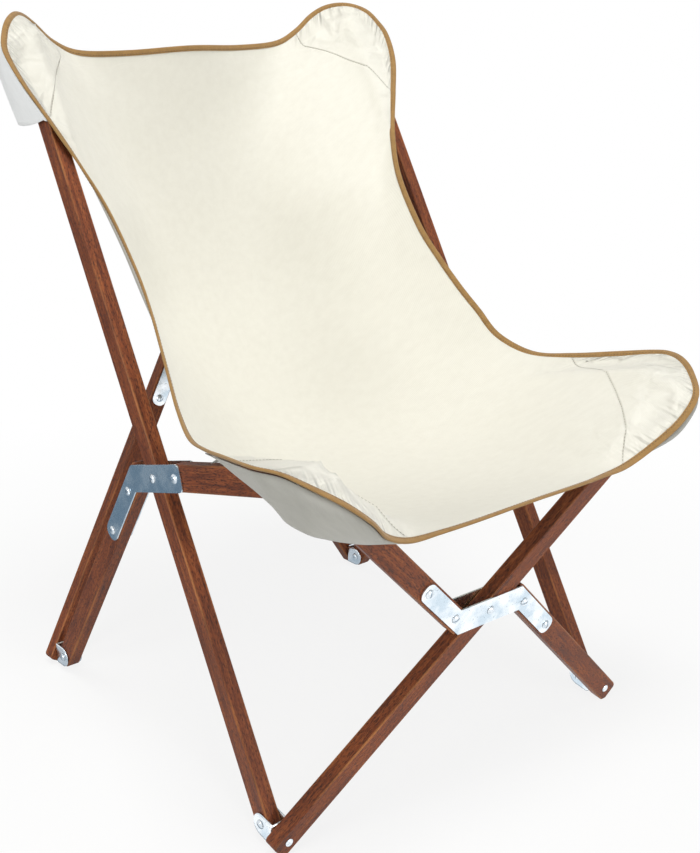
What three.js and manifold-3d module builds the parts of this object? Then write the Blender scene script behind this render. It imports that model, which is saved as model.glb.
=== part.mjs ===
// A folding sling chair: four scissor frames of hardwood boards joined in a ring, and a canvas sling
// hung on their four upper corners. Millimetres, +Z up, the sitter faces -Y, the sitter's left is +X.
// Each scissor lies in a plane of its own: the front one leans forward, the rear one leans back, and
// the two side ones stand upright at the ends. A board's wide face lies in the plane of its scissor.
import * as THREE from "three";
import { mergeVertices } from "three/addons/utils/BufferGeometryUtils.js";
import Module from "manifold-3d";

const wasm = await Module();
wasm.setup();

// Frame
const side_spacing = 580; // between the mid-planes of the two side scissors
const foot_spacing = 560; // between the front and rear scissors at the height of the foot hubs
const foot_hub_height = 20;
const front_ear_height = 485;
const rear_ear_height = 925;
const front_lean_share = 0.14; // forward for each unit up
const rear_lean_share = 0.061; // back for each unit up
const side_pivot_height = 400;
const arm_hinge_forward = 50.5; // from the side pivot to the arm board's hinge
const arm_hinge_rise = 16.5;
const rear_leg_offset = 33; // the rear leg's axis passes behind the side pivot by this much
const cross_offset = 38.5; // the split cross board's halves pass the scissor's pivot by this much

// Boards
const board_thickness = 20;
const upright_width = 28;
const rear_leg_width = 30;
const arm_board_width = 35;
const long_cross_width = 28;
const split_cross_width = 31;
const edge_ease = 1.2;
const foot_end_over = 18.5; // a cross board runs on past its rivet by this much at the floor
const ear_end_over = 10;
const floor_cut = 60; // depth of the block that trims the feet at the floor
const foot_corner_radius = 6;
const round_steps = 5;
const rear_leg_end_over = 44; // past the upper plate screw
const split_end_over = 26; // a split cross half runs on past the plate's inner screw

// Plates
const plate_thickness = 2;
const running_gap = 0.4; // between a plate or a bracket and the board beside it
const cross_plate_bar_height = 36;
const cross_plate_arm_width = 25;
const cross_plate_inner_screw = 63.5; // along the half board, from the scissor's pivot
const cross_plate_outer_screw = 139.5;
const cross_plate_arm_end = 151;
const side_plate_arm_width = 27;
const side_plate_upper_screw = 64; // down the rear leg from the point nearest the side pivot
const side_plate_lower_screw = 148;
const side_plate_head_half = 18; // half the height of the head that carries the pivot and the hinge
const side_plate_hinge_over = 15;

// Brackets at the hubs
const bracket_sheet = 2;
const hub_reach = 32; // from a cross board's mid-plane to the hub's screw
const bracket_height = 29;
const bracket_ear_radius = 14;
const open_ear_gap = 2.8; // where a web slides on a board that it isn't riveted to
const open_foot_gap = 0.5;

// Screws and rivets
const screw_radius = 2.5;
const screw_head_radius = 6;
const screw_head_height = 3;
const rivet_radius = 2.5;
const rivet_head_radius = 5.5;
const rivet_head_height = 1.8;
const tail_height = 1.4;
const bore_clearance = 0.45;
const seat_gap = 0.3;
const rear_pocket_gap = 1.8; // from the binding down to the pocket sewn under it
const front_pocket_gap = 1.2;
const cloth_gap = 2; // from the cloth's edge to the binding's inside
const fastener_sides = 8;

// Sling
const cloth_thickness = 2.4;
const cloth_rings = 9;
const seat_depth = 345; // of the lowest point below the line from the rear ears to the front ones
const seat_middle_share = 0.6; // where it lies along that line
const hang_power_share = 1.75;
const cloth_rest = 8.5; // from a board to the middle of the cloth that lies on it
const hub_half_width = 23;
const drape_slope_share = 0.9;
const end_drape_share = 1.8;
const upright_clear_height = 120;
const front_hub_rise = 27;
const rear_hub_rise = 29;
const grid_step_share = 0.004;
const halving_steps = 12;
const rear_pocket_first = 3; // points of the edge between which a pocket is sewn on
const rear_pocket_last = 11;
const front_pocket_first = 20;
const front_pocket_last = 29;
const rear_pocket_swell = 80;
const front_pocket_swell = 20;
const binding_width = 8;
const binding_thickness = 4.6;
const pocket_thickness = 2;
const pocket_rows = 4;

// Colours
const hardwood = { color: 0x8a4b33, roughness: 0.55, metalness: 0 };
const zinc = { color: 0xb9c6cf, roughness: 0.4, metalness: 0.9 };
const canvas = { color: 0xf1eee0, roughness: 0.95, metalness: 0 };
const canvas_shade = { color: 0xb4b5ad, roughness: 0.95, metalness: 0 };
const braid = { color: 0xb79a68, roughness: 0.9, metalness: 0 };

const chair = new THREE.Group();

// Plane of a scissor, as the directions of its own x and y and its origin in the chair.
// Coordinates in a side plane are (y, z). In the front or rear plane they are (x, height along the
// plane above its foot rivets).
const half_spacing = side_spacing / 2;
const front_up = new THREE.Vector3(0, -front_lean_share, 1).normalize();
const rear_up = new THREE.Vector3(0, rear_lean_share, 1).normalize();
const across = new THREE.Vector3(1, 0, 0);
const back = new THREE.Vector3(0, 1, 0);
const up = new THREE.Vector3(0, 0, 1);

function scissor_plane(origin, u, v) {
  const n = new THREE.Vector3().crossVectors(u, v);
  const matrix = new THREE.Matrix4().makeBasis(u, v, n).setPosition(origin);
  return { origin, u, v, n, matrix };
}

const front_foot = new THREE.Vector3(0, -foot_spacing / 2, foot_hub_height);
const rear_foot = new THREE.Vector3(0, foot_spacing / 2, foot_hub_height);
const front_plane = scissor_plane(front_foot, across, front_up);
const rear_plane = scissor_plane(rear_foot, across, rear_up);
const sides = { right: -1, left: 1 };
const side_planes = {};
for (const [name, sign] of Object.entries(sides)) {
  side_planes[name] = scissor_plane(new THREE.Vector3(sign * half_spacing, 0, 0), back, up);
}

// Hubs of a side, in (y, z): the screw stands off the cross board's mid-plane by the bracket's depth.
const front_height = (front_ear_height - foot_hub_height) / front_up.z;
const rear_height = (rear_ear_height - foot_hub_height) / rear_up.z;

function hub_screw(plane, height, inward) {
  const rivet = plane.origin.clone().addScaledVector(plane.v, height);
  const screw = rivet.clone().addScaledVector(plane.n, inward * hub_reach);
  return new THREE.Vector2(screw.y, screw.z);
}

const front_foot_screw = hub_screw(front_plane, 0, -1);
const front_ear_screw = hub_screw(front_plane, front_height, -1);
const rear_foot_screw = hub_screw(rear_plane, 0, 1);
const rear_ear_screw = hub_screw(rear_plane, rear_height, 1);

// Side pivot, arm hinge and rear leg, in (y, z)
const upright_axis = rear_ear_screw.clone().sub(front_foot_screw).normalize();
const pivot_along = (side_pivot_height - front_foot_screw.y) / upright_axis.y;
const side_pivot = front_foot_screw.clone().addScaledVector(upright_axis, pivot_along);
const arm_hinge = side_pivot.clone().add(new THREE.Vector2(-arm_hinge_forward, arm_hinge_rise));
const leg_reach = side_pivot.clone().sub(rear_foot_screw);
const leg_tilt = -Math.asin(rear_leg_offset / leg_reach.length());
const rear_leg_axis = leg_reach.clone().normalize().rotateAround(new THREE.Vector2(), leg_tilt);
const leg_nearest = Math.sqrt(leg_reach.lengthSq() - rear_leg_offset ** 2);
const along_leg = (distance) =>
  rear_foot_screw.clone().addScaledVector(rear_leg_axis, leg_nearest - distance);
const leg_screws = [along_leg(side_plate_upper_screw), along_leg(side_plate_lower_screw)];

// Solids that manifold-3d cuts and joins
function solid(geometry) {
  const bare = geometry.clone();
  for (const name of ["normal", "uv"]) bare.deleteAttribute(name);
  const merged = mergeVertices(bare);
  return new wasm.Manifold(new wasm.Mesh({
    numProp: 3,
    vertProperties: new Float32Array(merged.attributes.position.array),
    triVerts: new Uint32Array(merged.index.array),
  }));
}

function geometry_of(manifold) {
  const mesh = manifold.getMesh();
  const geometry = new THREE.BufferGeometry();
  geometry.setAttribute("position", new THREE.BufferAttribute(mesh.vertProperties, mesh.numProp));
  geometry.setIndex(new THREE.BufferAttribute(mesh.triVerts, 1));
  geometry.computeVertexNormals();
  return geometry;
}

function add(name, geometry, look, plane) {
  const mesh = new THREE.Mesh(geometry, new THREE.MeshStandardMaterial(look));
  mesh.name = name;
  if (plane) mesh.applyMatrix4(plane.matrix);
  chair.add(mesh);
  return mesh;
}

function bore(shape, centre, radius) {
  const hole = new THREE.Path();
  hole.absarc(centre.x, centre.y, radius, 0, 2 * Math.PI, true);
  shape.holes.push(hole);
}

function pierce(shape, points, radius) {
  for (const point of points) bore(shape, point, radius);
}

// Outline with rounded corners: each corner is cut by an arc that touches both its sides.
function rounded(points, radii) {
  const shape = new THREE.Shape();
  points.forEach((corner, i) => {
    const before = points[(i + points.length - 1) % points.length].clone().sub(corner).normalize();
    const after = points[(i + 1) % points.length].clone().sub(corner).normalize();
    const half_angle = Math.acos(THREE.MathUtils.clamp(before.dot(after), -1, 1)) / 2;
    const cut = radii[i] / Math.tan(half_angle);
    const start = corner.clone().addScaledVector(before, cut);
    const end = corner.clone().addScaledVector(after, cut);
    if (i === 0) shape.moveTo(start.x, start.y);
    else shape.lineTo(start.x, start.y);
    const centre = corner.clone().addScaledVector(
      before.clone().add(after).normalize(), radii[i] / Math.sin(half_angle));
    const from = start.clone().sub(centre);
    const sweep = (Math.PI - 2 * half_angle) * Math.sign(before.cross(after)) * -1;
    for (let k = 1; k <= round_steps; k += 1) {
      const turned = from.clone().rotateAround(new THREE.Vector2(), (sweep * k) / round_steps);
      shape.lineTo(centre.x + turned.x, centre.y + turned.y);
    }
  });
  return shape;
}

// A board from one point to another in its plane, run on past both, with bores at the given points.
function board_geometry(from, to, width, over, radius, bores) {
  const axis = to.clone().sub(from).normalize();
  const aside = new THREE.Vector2(-axis.y, axis.x);
  const corner = (end, along, side) =>
    end.clone().addScaledVector(axis, along).addScaledVector(aside, (side * width) / 2);
  const outline = rounded(
    [corner(from, -over[0], -1), corner(to, over[1], -1), corner(to, over[1], 1), corner(from, -over[0], 1)],
    [radius[0], radius[1], radius[1], radius[0]]);
  pierce(outline, bores, screw_radius + bore_clearance);
  const geometry = new THREE.ExtrudeGeometry(outline, {
    depth: board_thickness - 2 * edge_ease,
    bevelEnabled: true,
    bevelThickness: edge_ease,
    bevelSize: edge_ease,
    bevelOffset: -edge_ease,
    bevelSegments: 1,
    curveSegments: fastener_sides / 2,
  });
  geometry.translate(0, 0, edge_ease - board_thickness / 2);
  return geometry;
}

function plate_geometry(outline, face, bores) {
  pierce(outline, bores, screw_radius + bore_clearance);
  const geometry = new THREE.ExtrudeGeometry(outline, {
    depth: plate_thickness, bevelEnabled: false, curveSegments: fastener_sides / 2,
  });
  const near = board_thickness / 2 + running_gap;
  geometry.translate(0, 0, face > 0 ? near : -near - plate_thickness);
  return geometry;
}

// Cut flat whatever reaches below the floor.
function stand_on_floor(mesh) {
  mesh.updateMatrix();
  const body = solid(mesh.geometry.clone().applyMatrix4(mesh.matrix));
  const size = 2 * (side_spacing + foot_spacing);
  const block = new THREE.BoxGeometry(size, size, floor_cut).translate(0, 0, -floor_cut / 2);
  mesh.geometry = geometry_of(body.subtract(solid(block)));
  mesh.position.set(0, 0, 0);
  mesh.quaternion.identity();
}

// Fastener of revolution on its own z axis: a domed head at each end of a straight shank.
function fastener_geometry(reach, shank, head, height, tail_radius = head, tail = height) {
  const dome_share = 0.62;
  const half = reach / 2;
  const profile = [
    [0, -half - tail],
    [tail_radius * dome_share, -half - tail * dome_share],
    [tail_radius, -half],
    [shank, -half],
    [shank, half],
    [head, half],
    [head * dome_share, half + height * dome_share],
    [0, half + height],
  ];
  const lathe = new THREE.LatheGeometry(profile.map(([x, y]) => new THREE.Vector2(x, y)), fastener_sides);
  return lathe.rotateX(Math.PI / 2);
}

// A head alone, with its shank ending inside the sheet that it is set in.
function stud_geometry(depth, shank, head, height) {
  const dome_share = 0.62;
  const profile = [
    [0, -depth],
    [shank, -depth],
    [shank, 0],
    [head, 0],
    [head * dome_share, height * dome_share],
    [0, height],
  ];
  const lathe = new THREE.LatheGeometry(profile.map(([x, y]) => new THREE.Vector2(x, y)), fastener_sides);
  return lathe.rotateX(Math.PI / 2);
}

function joined(parts) {
  return geometry_of(parts.map(solid).reduce((all, one) => all.add(one)));
}

// A bolt through both plates and the board between them
function plate_bolt(name, at, plane) {
  const reach = board_thickness + 2 * (running_gap + plate_thickness + seat_gap);
  const bolt = fastener_geometry(reach, screw_radius, screw_head_radius, screw_head_height);
  add(name, joined([bolt.translate(at.x, at.y, 0)]), zinc, plane);
}

// Front and rear scissors: one long board and, across it, two half boards that two plates join.
function cross_scissor(name, plane, height, lean) {
  const feet = half_spacing;
  const long_from = new THREE.Vector2(-feet * lean, 0);
  const long_to = new THREE.Vector2(feet * lean, height);
  const pivot = new THREE.Vector2(0, height / 2);
  const half_from = new THREE.Vector2(feet * lean, 0);
  const half_to = new THREE.Vector2(-feet * lean, height);
  const reach = pivot.clone().sub(half_from);
  const tilt = Math.asin(cross_offset / reach.length());
  const outward = lean;
  const axis = reach.clone().normalize().rotateAround(new THREE.Vector2(), -outward * tilt);
  const aside = new THREE.Vector2(-axis.y, axis.x).multiplyScalar(outward);
  const lower_at = (along) =>
    pivot.clone().addScaledVector(aside, -cross_offset).addScaledVector(axis, -along);
  const upper_at = (along) => pivot.clone().addScaledVector(aside, cross_offset).addScaledVector(axis, along);
  const inner = cross_plate_inner_screw * Math.cos(Math.asin(cross_offset / cross_plate_inner_screw));
  const outer = inner + cross_plate_outer_screw - cross_plate_inner_screw;
  const lower_screws = [lower_at(inner), lower_at(outer)];
  const upper_screws = [upper_at(inner), upper_at(outer)];

  const end_radius = [foot_corner_radius, foot_corner_radius];
  add(`${name}_cross_long`, board_geometry(
    long_from, long_to, long_cross_width, [foot_end_over, ear_end_over], end_radius,
    [long_from, pivot, long_to]), hardwood, plane);
  add(`${name}_cross_lower`, board_geometry(
    half_from, lower_screws[0], split_cross_width, [foot_end_over, split_end_over], end_radius,
    [half_from, ...lower_screws]), hardwood, plane);
  add(`${name}_cross_upper`, board_geometry(
    upper_screws[0], half_to, split_cross_width, [split_end_over, ear_end_over], end_radius,
    [half_to, ...upper_screws]), hardwood, plane);

  // Z-shaped plates: a level bar over the long board, with an arm along each half board
  const half_arm = cross_plate_arm_width / 2;
  const arm_end = inner + cross_plate_arm_end - cross_plate_inner_screw;
  const bar_half = cross_plate_bar_height / 2;
  const edge_at = (point_at, edge, level) => {
    const point = point_at(0).addScaledVector(aside, edge);
    const slope = point_at(1).sub(point_at(0));
    return point.addScaledVector(slope, (level - point.y) / slope.y);
  };
  const corners = [
    upper_at(arm_end).addScaledVector(aside, half_arm),
    upper_at(arm_end).addScaledVector(aside, -half_arm),
    edge_at(upper_at, -half_arm, pivot.y + bar_half),
    edge_at(lower_at, -half_arm, pivot.y + bar_half),
    lower_at(arm_end).addScaledVector(aside, -half_arm),
    lower_at(arm_end).addScaledVector(aside, half_arm),
    edge_at(lower_at, half_arm, pivot.y - bar_half),
    edge_at(upper_at, half_arm, pivot.y - bar_half),
  ];
  const bend_radius = bracket_sheet;
  const tip_radius = half_arm - bracket_sheet;
  const arm_radii = [tip_radius, tip_radius, bend_radius, bend_radius];
  const radii = [...arm_radii, ...arm_radii];
  if (outward > 0) {
    corners.reverse();
    radii.reverse();
  }
  const screws = [...lower_screws, pivot, ...upper_screws];
  for (const [face_name, face] of [["outer", 1], ["inner", -1]]) {
    const facing = name === "front" ? face : -face;
    const geometry = plate_geometry(rounded(corners, radii), facing, screws);
    add(`${name}_plate_${face_name}`, geometry, zinc, plane);
  }
  screws.forEach((at, i) => plate_bolt(`${name}_plate_screw_${i + 1}`, at, plane));
}

cross_scissor("front", front_plane, front_height, 1);
cross_scissor("rear", rear_plane, rear_height, -1);
for (const name of ["front_cross_long", "front_cross_lower", "rear_cross_long", "rear_cross_lower"]) {
  stand_on_floor(chair.getObjectByName(name));
}

// Side scissors: the upright, the rear leg with its two plates, and the arm board hinged to them
function side_scissor(name, plane) {
  const upright_round = upright_width / 2 - edge_ease;
  const arm_round = arm_board_width / 2 - edge_ease;
  add(`${name}_upright`, board_geometry(
    front_foot_screw, rear_ear_screw, upright_width, [upright_width / 2, upright_width / 2],
    [upright_round, upright_round], [front_foot_screw, side_pivot, rear_ear_screw]), hardwood, plane);
  add(`${name}_rear_leg`, board_geometry(
    rear_foot_screw, leg_screws[0], rear_leg_width, [rear_leg_width / 2, rear_leg_end_over],
    [rear_leg_width / 2 - edge_ease, foot_corner_radius], [rear_foot_screw, ...leg_screws]), hardwood, plane);
  add(`${name}_arm_board`, board_geometry(
    arm_hinge, front_ear_screw, arm_board_width, [arm_board_width / 2, arm_board_width / 2],
    [arm_round, arm_round], [front_ear_screw]), hardwood, plane);

  // L-shaped plates: a head over the pivot and the hinge, an arm down the rear leg
  const head_axis = arm_hinge.clone().sub(side_pivot).normalize();
  const head_aside = new THREE.Vector2(head_axis.y, -head_axis.x);
  const leg_aside = new THREE.Vector2(-rear_leg_axis.y, rear_leg_axis.x);
  const half_arm = side_plate_arm_width / 2;
  const arm_end = leg_screws[1].clone().addScaledVector(rear_leg_axis, -half_arm);
  const front_point = arm_hinge.clone().addScaledVector(head_axis, side_plate_hinge_over);
  const meet = (point, direction, other, other_direction) => {
    const gap = other.clone().sub(point);
    const run = gap.cross(other_direction) / direction.cross(other_direction);
    return point.clone().addScaledVector(direction, run);
  };
  const top_line = side_pivot.clone().addScaledVector(head_aside, side_plate_head_half);
  const low_line = side_pivot.clone().addScaledVector(head_aside, -side_plate_head_half);
  const arm_rear = arm_end.clone().addScaledVector(leg_aside, -half_arm);
  const arm_front = arm_end.clone().addScaledVector(leg_aside, half_arm);
  const corners = [
    front_point.clone().addScaledVector(head_aside, -side_plate_head_half),
    meet(low_line, head_axis, arm_front, rear_leg_axis),
    arm_front,
    arm_rear,
    meet(top_line, head_axis, arm_rear, rear_leg_axis),
    front_point.clone().addScaledVector(head_aside, side_plate_head_half),
  ];
  const corner_radius = side_plate_head_half / 2;
  const radii = [corner_radius, bracket_sheet, half_arm - bracket_sheet, half_arm - bracket_sheet,
    corner_radius, corner_radius];
  const sign = sides[name];
  const screws = [side_pivot, ...leg_screws];
  for (const [face_name, face] of [["outer", 1], ["inner", -1]]) {
    const facing = sign * face;
    const plate = plate_geometry(rounded(corners, radii), facing, screws);
    const stud = stud_geometry(plate_thickness / 2, screw_radius, screw_head_radius, screw_head_height);
    if (facing < 0) stud.rotateX(Math.PI);
    const outer_face = board_thickness / 2 + running_gap + plate_thickness;
    stud.translate(arm_hinge.x, arm_hinge.y, facing * outer_face);
    add(`${name}_plate_${face_name}`, joined([plate, stud]), zinc, plane);
  }
  screws.forEach((at, i) => plate_bolt(`${name}_plate_screw_${i + 1}`, at, plane));
}

for (const name of Object.keys(sides)) side_scissor(name, side_planes[name]);

// Hub: a U of sheet metal whose web lies on the cross board and whose legs hold the side board's end.
// Its own x is across the chair, its y is up along the cross board's plane, its z points to the legs.
function hub(name, plane, at, toward, web_gap) {
  const riveted = web_gap === seat_gap;
  const web_near = board_thickness / 2 + web_gap;
  const inside = board_thickness / 2 + running_gap;
  const outside = inside + bracket_sheet;
  const leg_tip = hub_reach + bracket_ear_radius;
  const channel = new THREE.Shape([
    new THREE.Vector2(-outside, web_near),
    new THREE.Vector2(outside, web_near),
    new THREE.Vector2(outside, leg_tip),
    new THREE.Vector2(inside, leg_tip),
    new THREE.Vector2(inside, web_near + bracket_sheet),
    new THREE.Vector2(-inside, web_near + bracket_sheet),
    new THREE.Vector2(-inside, leg_tip),
    new THREE.Vector2(-outside, leg_tip),
  ]);
  const half = bracket_height / 2;
  const channel_body = new THREE.ExtrudeGeometry(channel, { depth: bracket_height, bevelEnabled: false })
    .rotateX(Math.PI / 2).translate(0, half, 0);
  const cheek = rounded(
    [new THREE.Vector2(0, -half), new THREE.Vector2(leg_tip, -half),
      new THREE.Vector2(leg_tip, half), new THREE.Vector2(0, half)],
    [edge_ease, half - edge_ease, half - edge_ease, edge_ease]);
  bore(cheek, new THREE.Vector2(hub_reach, 0), screw_radius + bore_clearance);
  const cheek_body = new THREE.ExtrudeGeometry(cheek, {
    depth: 2 * outside + 2 * edge_ease, bevelEnabled: false, curveSegments: fastener_sides / 2,
  }).rotateY(-Math.PI / 2).translate(outside + edge_ease, 0, 0);
  const head_side = -board_thickness / 2 - seat_gap;
  const tail_side = web_near + bracket_sheet;
  const rivet = riveted
    ? fastener_geometry(tail_side - head_side, rivet_radius, rivet_head_radius, tail_height,
      rivet_head_radius, rivet_head_height).translate(0, 0, (tail_side + head_side) / 2)
    : stud_geometry(bracket_sheet / 2, rivet_radius, rivet_head_radius, tail_height)
      .translate(0, 0, tail_side);
  const body = solid(channel_body).intersect(solid(cheek_body)).add(solid(rivet));
  const along = plane.n.clone().multiplyScalar(toward);
  const sideways = new THREE.Vector3().crossVectors(plane.v, along);
  const seat = new THREE.Matrix4().makeBasis(sideways, plane.v, along).setPosition(
    plane.origin.clone().addScaledVector(plane.u, at.x).addScaledVector(plane.v, at.y));
  const placed = { matrix: seat };
  add(`${name}_bracket`, geometry_of(body), zinc, placed);
  const screw = fastener_geometry(
    2 * (outside + seat_gap), screw_radius, screw_head_radius, screw_head_height);
  add(`${name}_screw`, joined([screw.rotateY(Math.PI / 2).translate(0, 0, hub_reach)]), zinc, placed);
}

const foot_top = (x) => new THREE.Vector2(x, 0);
hub("right_front_foot", front_plane, foot_top(-half_spacing), -1, seat_gap);
hub("left_front_foot", front_plane, foot_top(half_spacing), -1, seat_gap);
hub("right_rear_foot", rear_plane, foot_top(-half_spacing), 1, seat_gap);
hub("left_rear_foot", rear_plane, foot_top(half_spacing), 1, open_foot_gap);
const front_top = (x) => new THREE.Vector2(x, front_height);
const rear_top = (x) => new THREE.Vector2(x, rear_height);
hub("right_front_ear", front_plane, front_top(-half_spacing), -1, seat_gap);
hub("left_front_ear", front_plane, front_top(half_spacing), -1, seat_gap);
hub("right_rear_ear", rear_plane, rear_top(-half_spacing), 1, open_ear_gap);
hub("left_rear_ear", rear_plane, rear_top(half_spacing), 1, open_ear_gap);

// Sling. Its edge runs round four ears, and each point of the edge is given as shares: of the half
// spacing outward, and of the way from the rear ear hub to the front one, forward and down.
const ear_depth = rear_ear_screw.x - front_ear_screw.x;
const ear_drop = rear_ear_screw.y - front_ear_screw.y;
const edge_point = ([out, forward, down]) => new THREE.Vector3(
  half_spacing * out, rear_ear_screw.x - ear_depth * forward, rear_ear_screw.y - ear_drop * down);
const top_edge_shares = [
  [0, -0.05, 0.057], [0.34, -0.075, 0.066], [0.61, -0.085, 0.059], [0.75, -0.085, 0.02],
  [0.85, -0.078, -0.035], [0.93, -0.06, -0.066], [1.01, -0.027, -0.073], [1.085, 0.007, -0.052],
];
const side_edge_shares = [
  [1.13, 0.031, -0.011], [1.15, 0.056, 0.034], [1.12, 0.1, 0.118], [1.045, 0.143, 0.225],
  [0.955, 0.191, 0.355], [0.886, 0.255, 0.495], [0.866, 0.343, 0.65], [0.883, 0.409, 0.75],
  [0.914, 0.47, 0.841], [0.945, 0.521, 0.911], [0.976, 0.575, 0.984], [1.034, 0.659, 1.025],
  [1.093, 0.756, 1.007], [1.152, 0.859, 0.973], [1.2, 0.94, 0.945],
];
const front_edge_shares = [
  [1.207, 0.98, 0.936], [1.166, 1.028, 0.936], [1.11, 1.072, 0.957], [1.017, 1.117, 0.998],
  [0.9, 1.122, 1.061], [0.779, 1.099, 1.132], [0.641, 1.088, 1.173], [0.483, 1.091, 1.177],
  [0.31, 1.104, 1.168], [0, 1.11, 1.161],
];
const half_edge = [...top_edge_shares, ...side_edge_shares, ...front_edge_shares].map(edge_point);
const mirrored = (p) => new THREE.Vector3(-p.x, p.y, p.z);
const whole_edge = [...half_edge, ...half_edge.slice(1, -1).reverse().map(mirrored)];
const edge_curve = new THREE.CatmullRomCurve3(whole_edge, true, "catmullrom");
const edge_count = whole_edge.length;
const edge_at_share = (share) => edge_curve.getPoint(THREE.MathUtils.euclideanModulo(share, 1));
const chord = new THREE.Vector3(0, -ear_depth, -ear_drop);
const chord_length = chord.length();
const chord_axis = chord.clone().normalize();
const hang_axis = new THREE.Vector3().crossVectors(across, chord_axis).normalize();
const rear_ear = new THREE.Vector3(0, rear_ear_screw.x, rear_ear_screw.y);

// The cloth is a bowl hung between the ears. From its lowest point (0) to the edge (1) the run across
// and along the chord grows evenly, and the depth below the chord rises by a power of it.
function hung_point(share, turn) {
  const edge = edge_at_share(turn);
  const from_ear = edge.clone().sub(rear_ear);
  const edge_along = from_ear.dot(chord_axis);
  const edge_depth = from_ear.dot(hang_axis);
  const middle_along = seat_middle_share * chord_length;
  const along = THREE.MathUtils.lerp(middle_along, edge_along, share);
  const depth = THREE.MathUtils.lerp(seat_depth, edge_depth, share ** hang_power_share);
  return new THREE.Vector3(edge.x * share, 0, 0)
    .add(rear_ear).addScaledVector(chord_axis, along).addScaledVector(hang_axis, depth);
}

// The cloth lies on the uprights, the arm boards and the front ear hubs: each lifts it where it would
// pass through, and beside them it falls away at a slope.
const upright_front = new THREE.Vector2(-upright_axis.y, upright_axis.x);
const arm_axis = front_ear_screw.clone().sub(arm_hinge).normalize();
const arm_top = new THREE.Vector2(arm_axis.y, -arm_axis.x);
const front_hub_middle = (front_foot.y - front_height * -front_up.y + front_ear_screw.x) / 2;
const front_hub_half = hub_reach / 2 + bracket_ear_radius;

// How far a point has to rise along a board's normal until the cloth lies on the board
function rise_over(point, start, normal, half_width, fall) {
  const distance = new THREE.Vector2(point.y, point.z).sub(start).dot(normal);
  return half_width + cloth_rest - fall - distance;
}

function raise(point, normal, need) {
  const eased = (Math.max(0, Math.min(need, cloth_rest) + cloth_rest)) ** 2 / (4 * cloth_rest);
  const lift = Math.max(eased, need);
  point.y += normal.x * lift;
  point.z += normal.y * lift;
}

function cloth_point(share, turn) {
  const point = hung_point(share, turn);
  const beside = Math.max(0, Math.abs(Math.abs(point.x) - half_spacing) - hub_half_width);
  const fall = drape_slope_share * beside;
  if (point.y < arm_hinge.x) {
    const past_end = Math.max(0, new THREE.Vector2(point.y, point.z).sub(front_ear_screw).dot(arm_axis));
    const end_fall = fall + end_drape_share * past_end;
    raise(point, arm_top, rise_over(point, arm_hinge, arm_top, arm_board_width / 2, end_fall));
    const away = Math.hypot(beside, Math.max(0, Math.abs(point.y - front_hub_middle) - front_hub_half));
    const hub_top = front_ear_height + front_hub_rise - drape_slope_share * away;
    raise(point, new THREE.Vector2(0, 1), hub_top - point.z);
  } else if (point.z > side_pivot_height + upright_clear_height) {
    const to_front = rise_over(point, side_pivot, upright_front, upright_width / 2, fall);
    const to_top = (rear_ear_height + rear_hub_rise - fall - point.z) / upright_front.y;
    raise(point, upright_front, Math.min(to_front, to_top));
  }
  return point;
}

const turned = (share, turn) => {
  const outer = cloth_point(Math.min(share + grid_step_share, 1), turn);
  const radial = outer.sub(cloth_point(Math.max(share - grid_step_share, 0), turn));
  const around = cloth_point(share, turn + grid_step_share).sub(cloth_point(share, turn - grid_step_share));
  return { radial, around, normal: around.clone().cross(radial).normalize() };
};

function stripped(geometry) {
  for (const name of ["normal", "uv"]) geometry.deleteAttribute(name);
  return geometry;
}

// Where the cloth ends beside the binding, as a share of the way to the edge, found by halving
function cloth_limit(turn) {
  const edge = cloth_point(1, turn);
  const tangent = turned(1, turn).around.normalize();
  let near = 1 - 1 / cloth_rings;
  let far = 1;
  for (let k = 0; k < halving_steps; k += 1) {
    const middle = (near + far) / 2;
    const beside = cloth_point(middle, turn).sub(edge).cross(tangent).length();
    if (beside > binding_width / 2 + cloth_gap) near = middle;
    else far = middle;
  }
  return near;
}

// Sheet from a sphere's grid: its upper half is the cloth's face, its lower half the back.
function sling_geometry() {
  const geometry = new THREE.SphereGeometry(1, edge_count, 2 * cloth_rings + 1);
  const position = geometry.attributes.position;
  const columns = edge_count + 1;
  for (let i = 0; i < position.count; i += 1) {
    const row = Math.floor(i / columns);
    const turn = (i % columns) / edge_count;
    const face = row <= cloth_rings ? 1 : -1;
    const ring = face > 0 ? row : 2 * cloth_rings + 1 - row;
    const share = Math.sin((Math.PI / 2) * (ring / cloth_rings)) * cloth_limit(turn);
    const at = turned(Math.max(share, grid_step_share), ring === 0 ? 0 : turn);
    const point = cloth_point(share, ring === 0 ? 0 : turn);
    point.addScaledVector(at.normal, (face * cloth_thickness) / 2);
    position.setXYZ(i, point.x, point.y, point.z);
  }
  return mergeVertices(stripped(geometry));
}

function binding_frame(turn) {
  const { around, normal } = turned(1, turn);
  const tangent = around.normalize();
  const outward = new THREE.Vector3().crossVectors(normal, tangent).normalize();
  return { centre: cloth_point(1, turn), tangent, outward, normal };
}

// Ring from a torus's grid, with a flat section
function binding_geometry() {
  const corners = [[1, 1], [-1, 1], [-1, -1], [1, -1]];
  const geometry = new THREE.TorusGeometry(1, 0.5, corners.length, edge_count);
  const position = geometry.attributes.position;
  const columns = edge_count + 1;
  for (let i = 0; i < position.count; i += 1) {
    const [out, over] = corners[Math.floor(i / columns) % corners.length];
    const frame = binding_frame((i % columns) / edge_count);
    const point = frame.centre.addScaledVector(frame.outward, (out * binding_width) / 2)
      .addScaledVector(frame.normal, (over * binding_thickness) / 2);
    position.setXYZ(i, point.x, point.y, point.z);
  }
  return mergeVertices(stripped(geometry));
}

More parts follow.
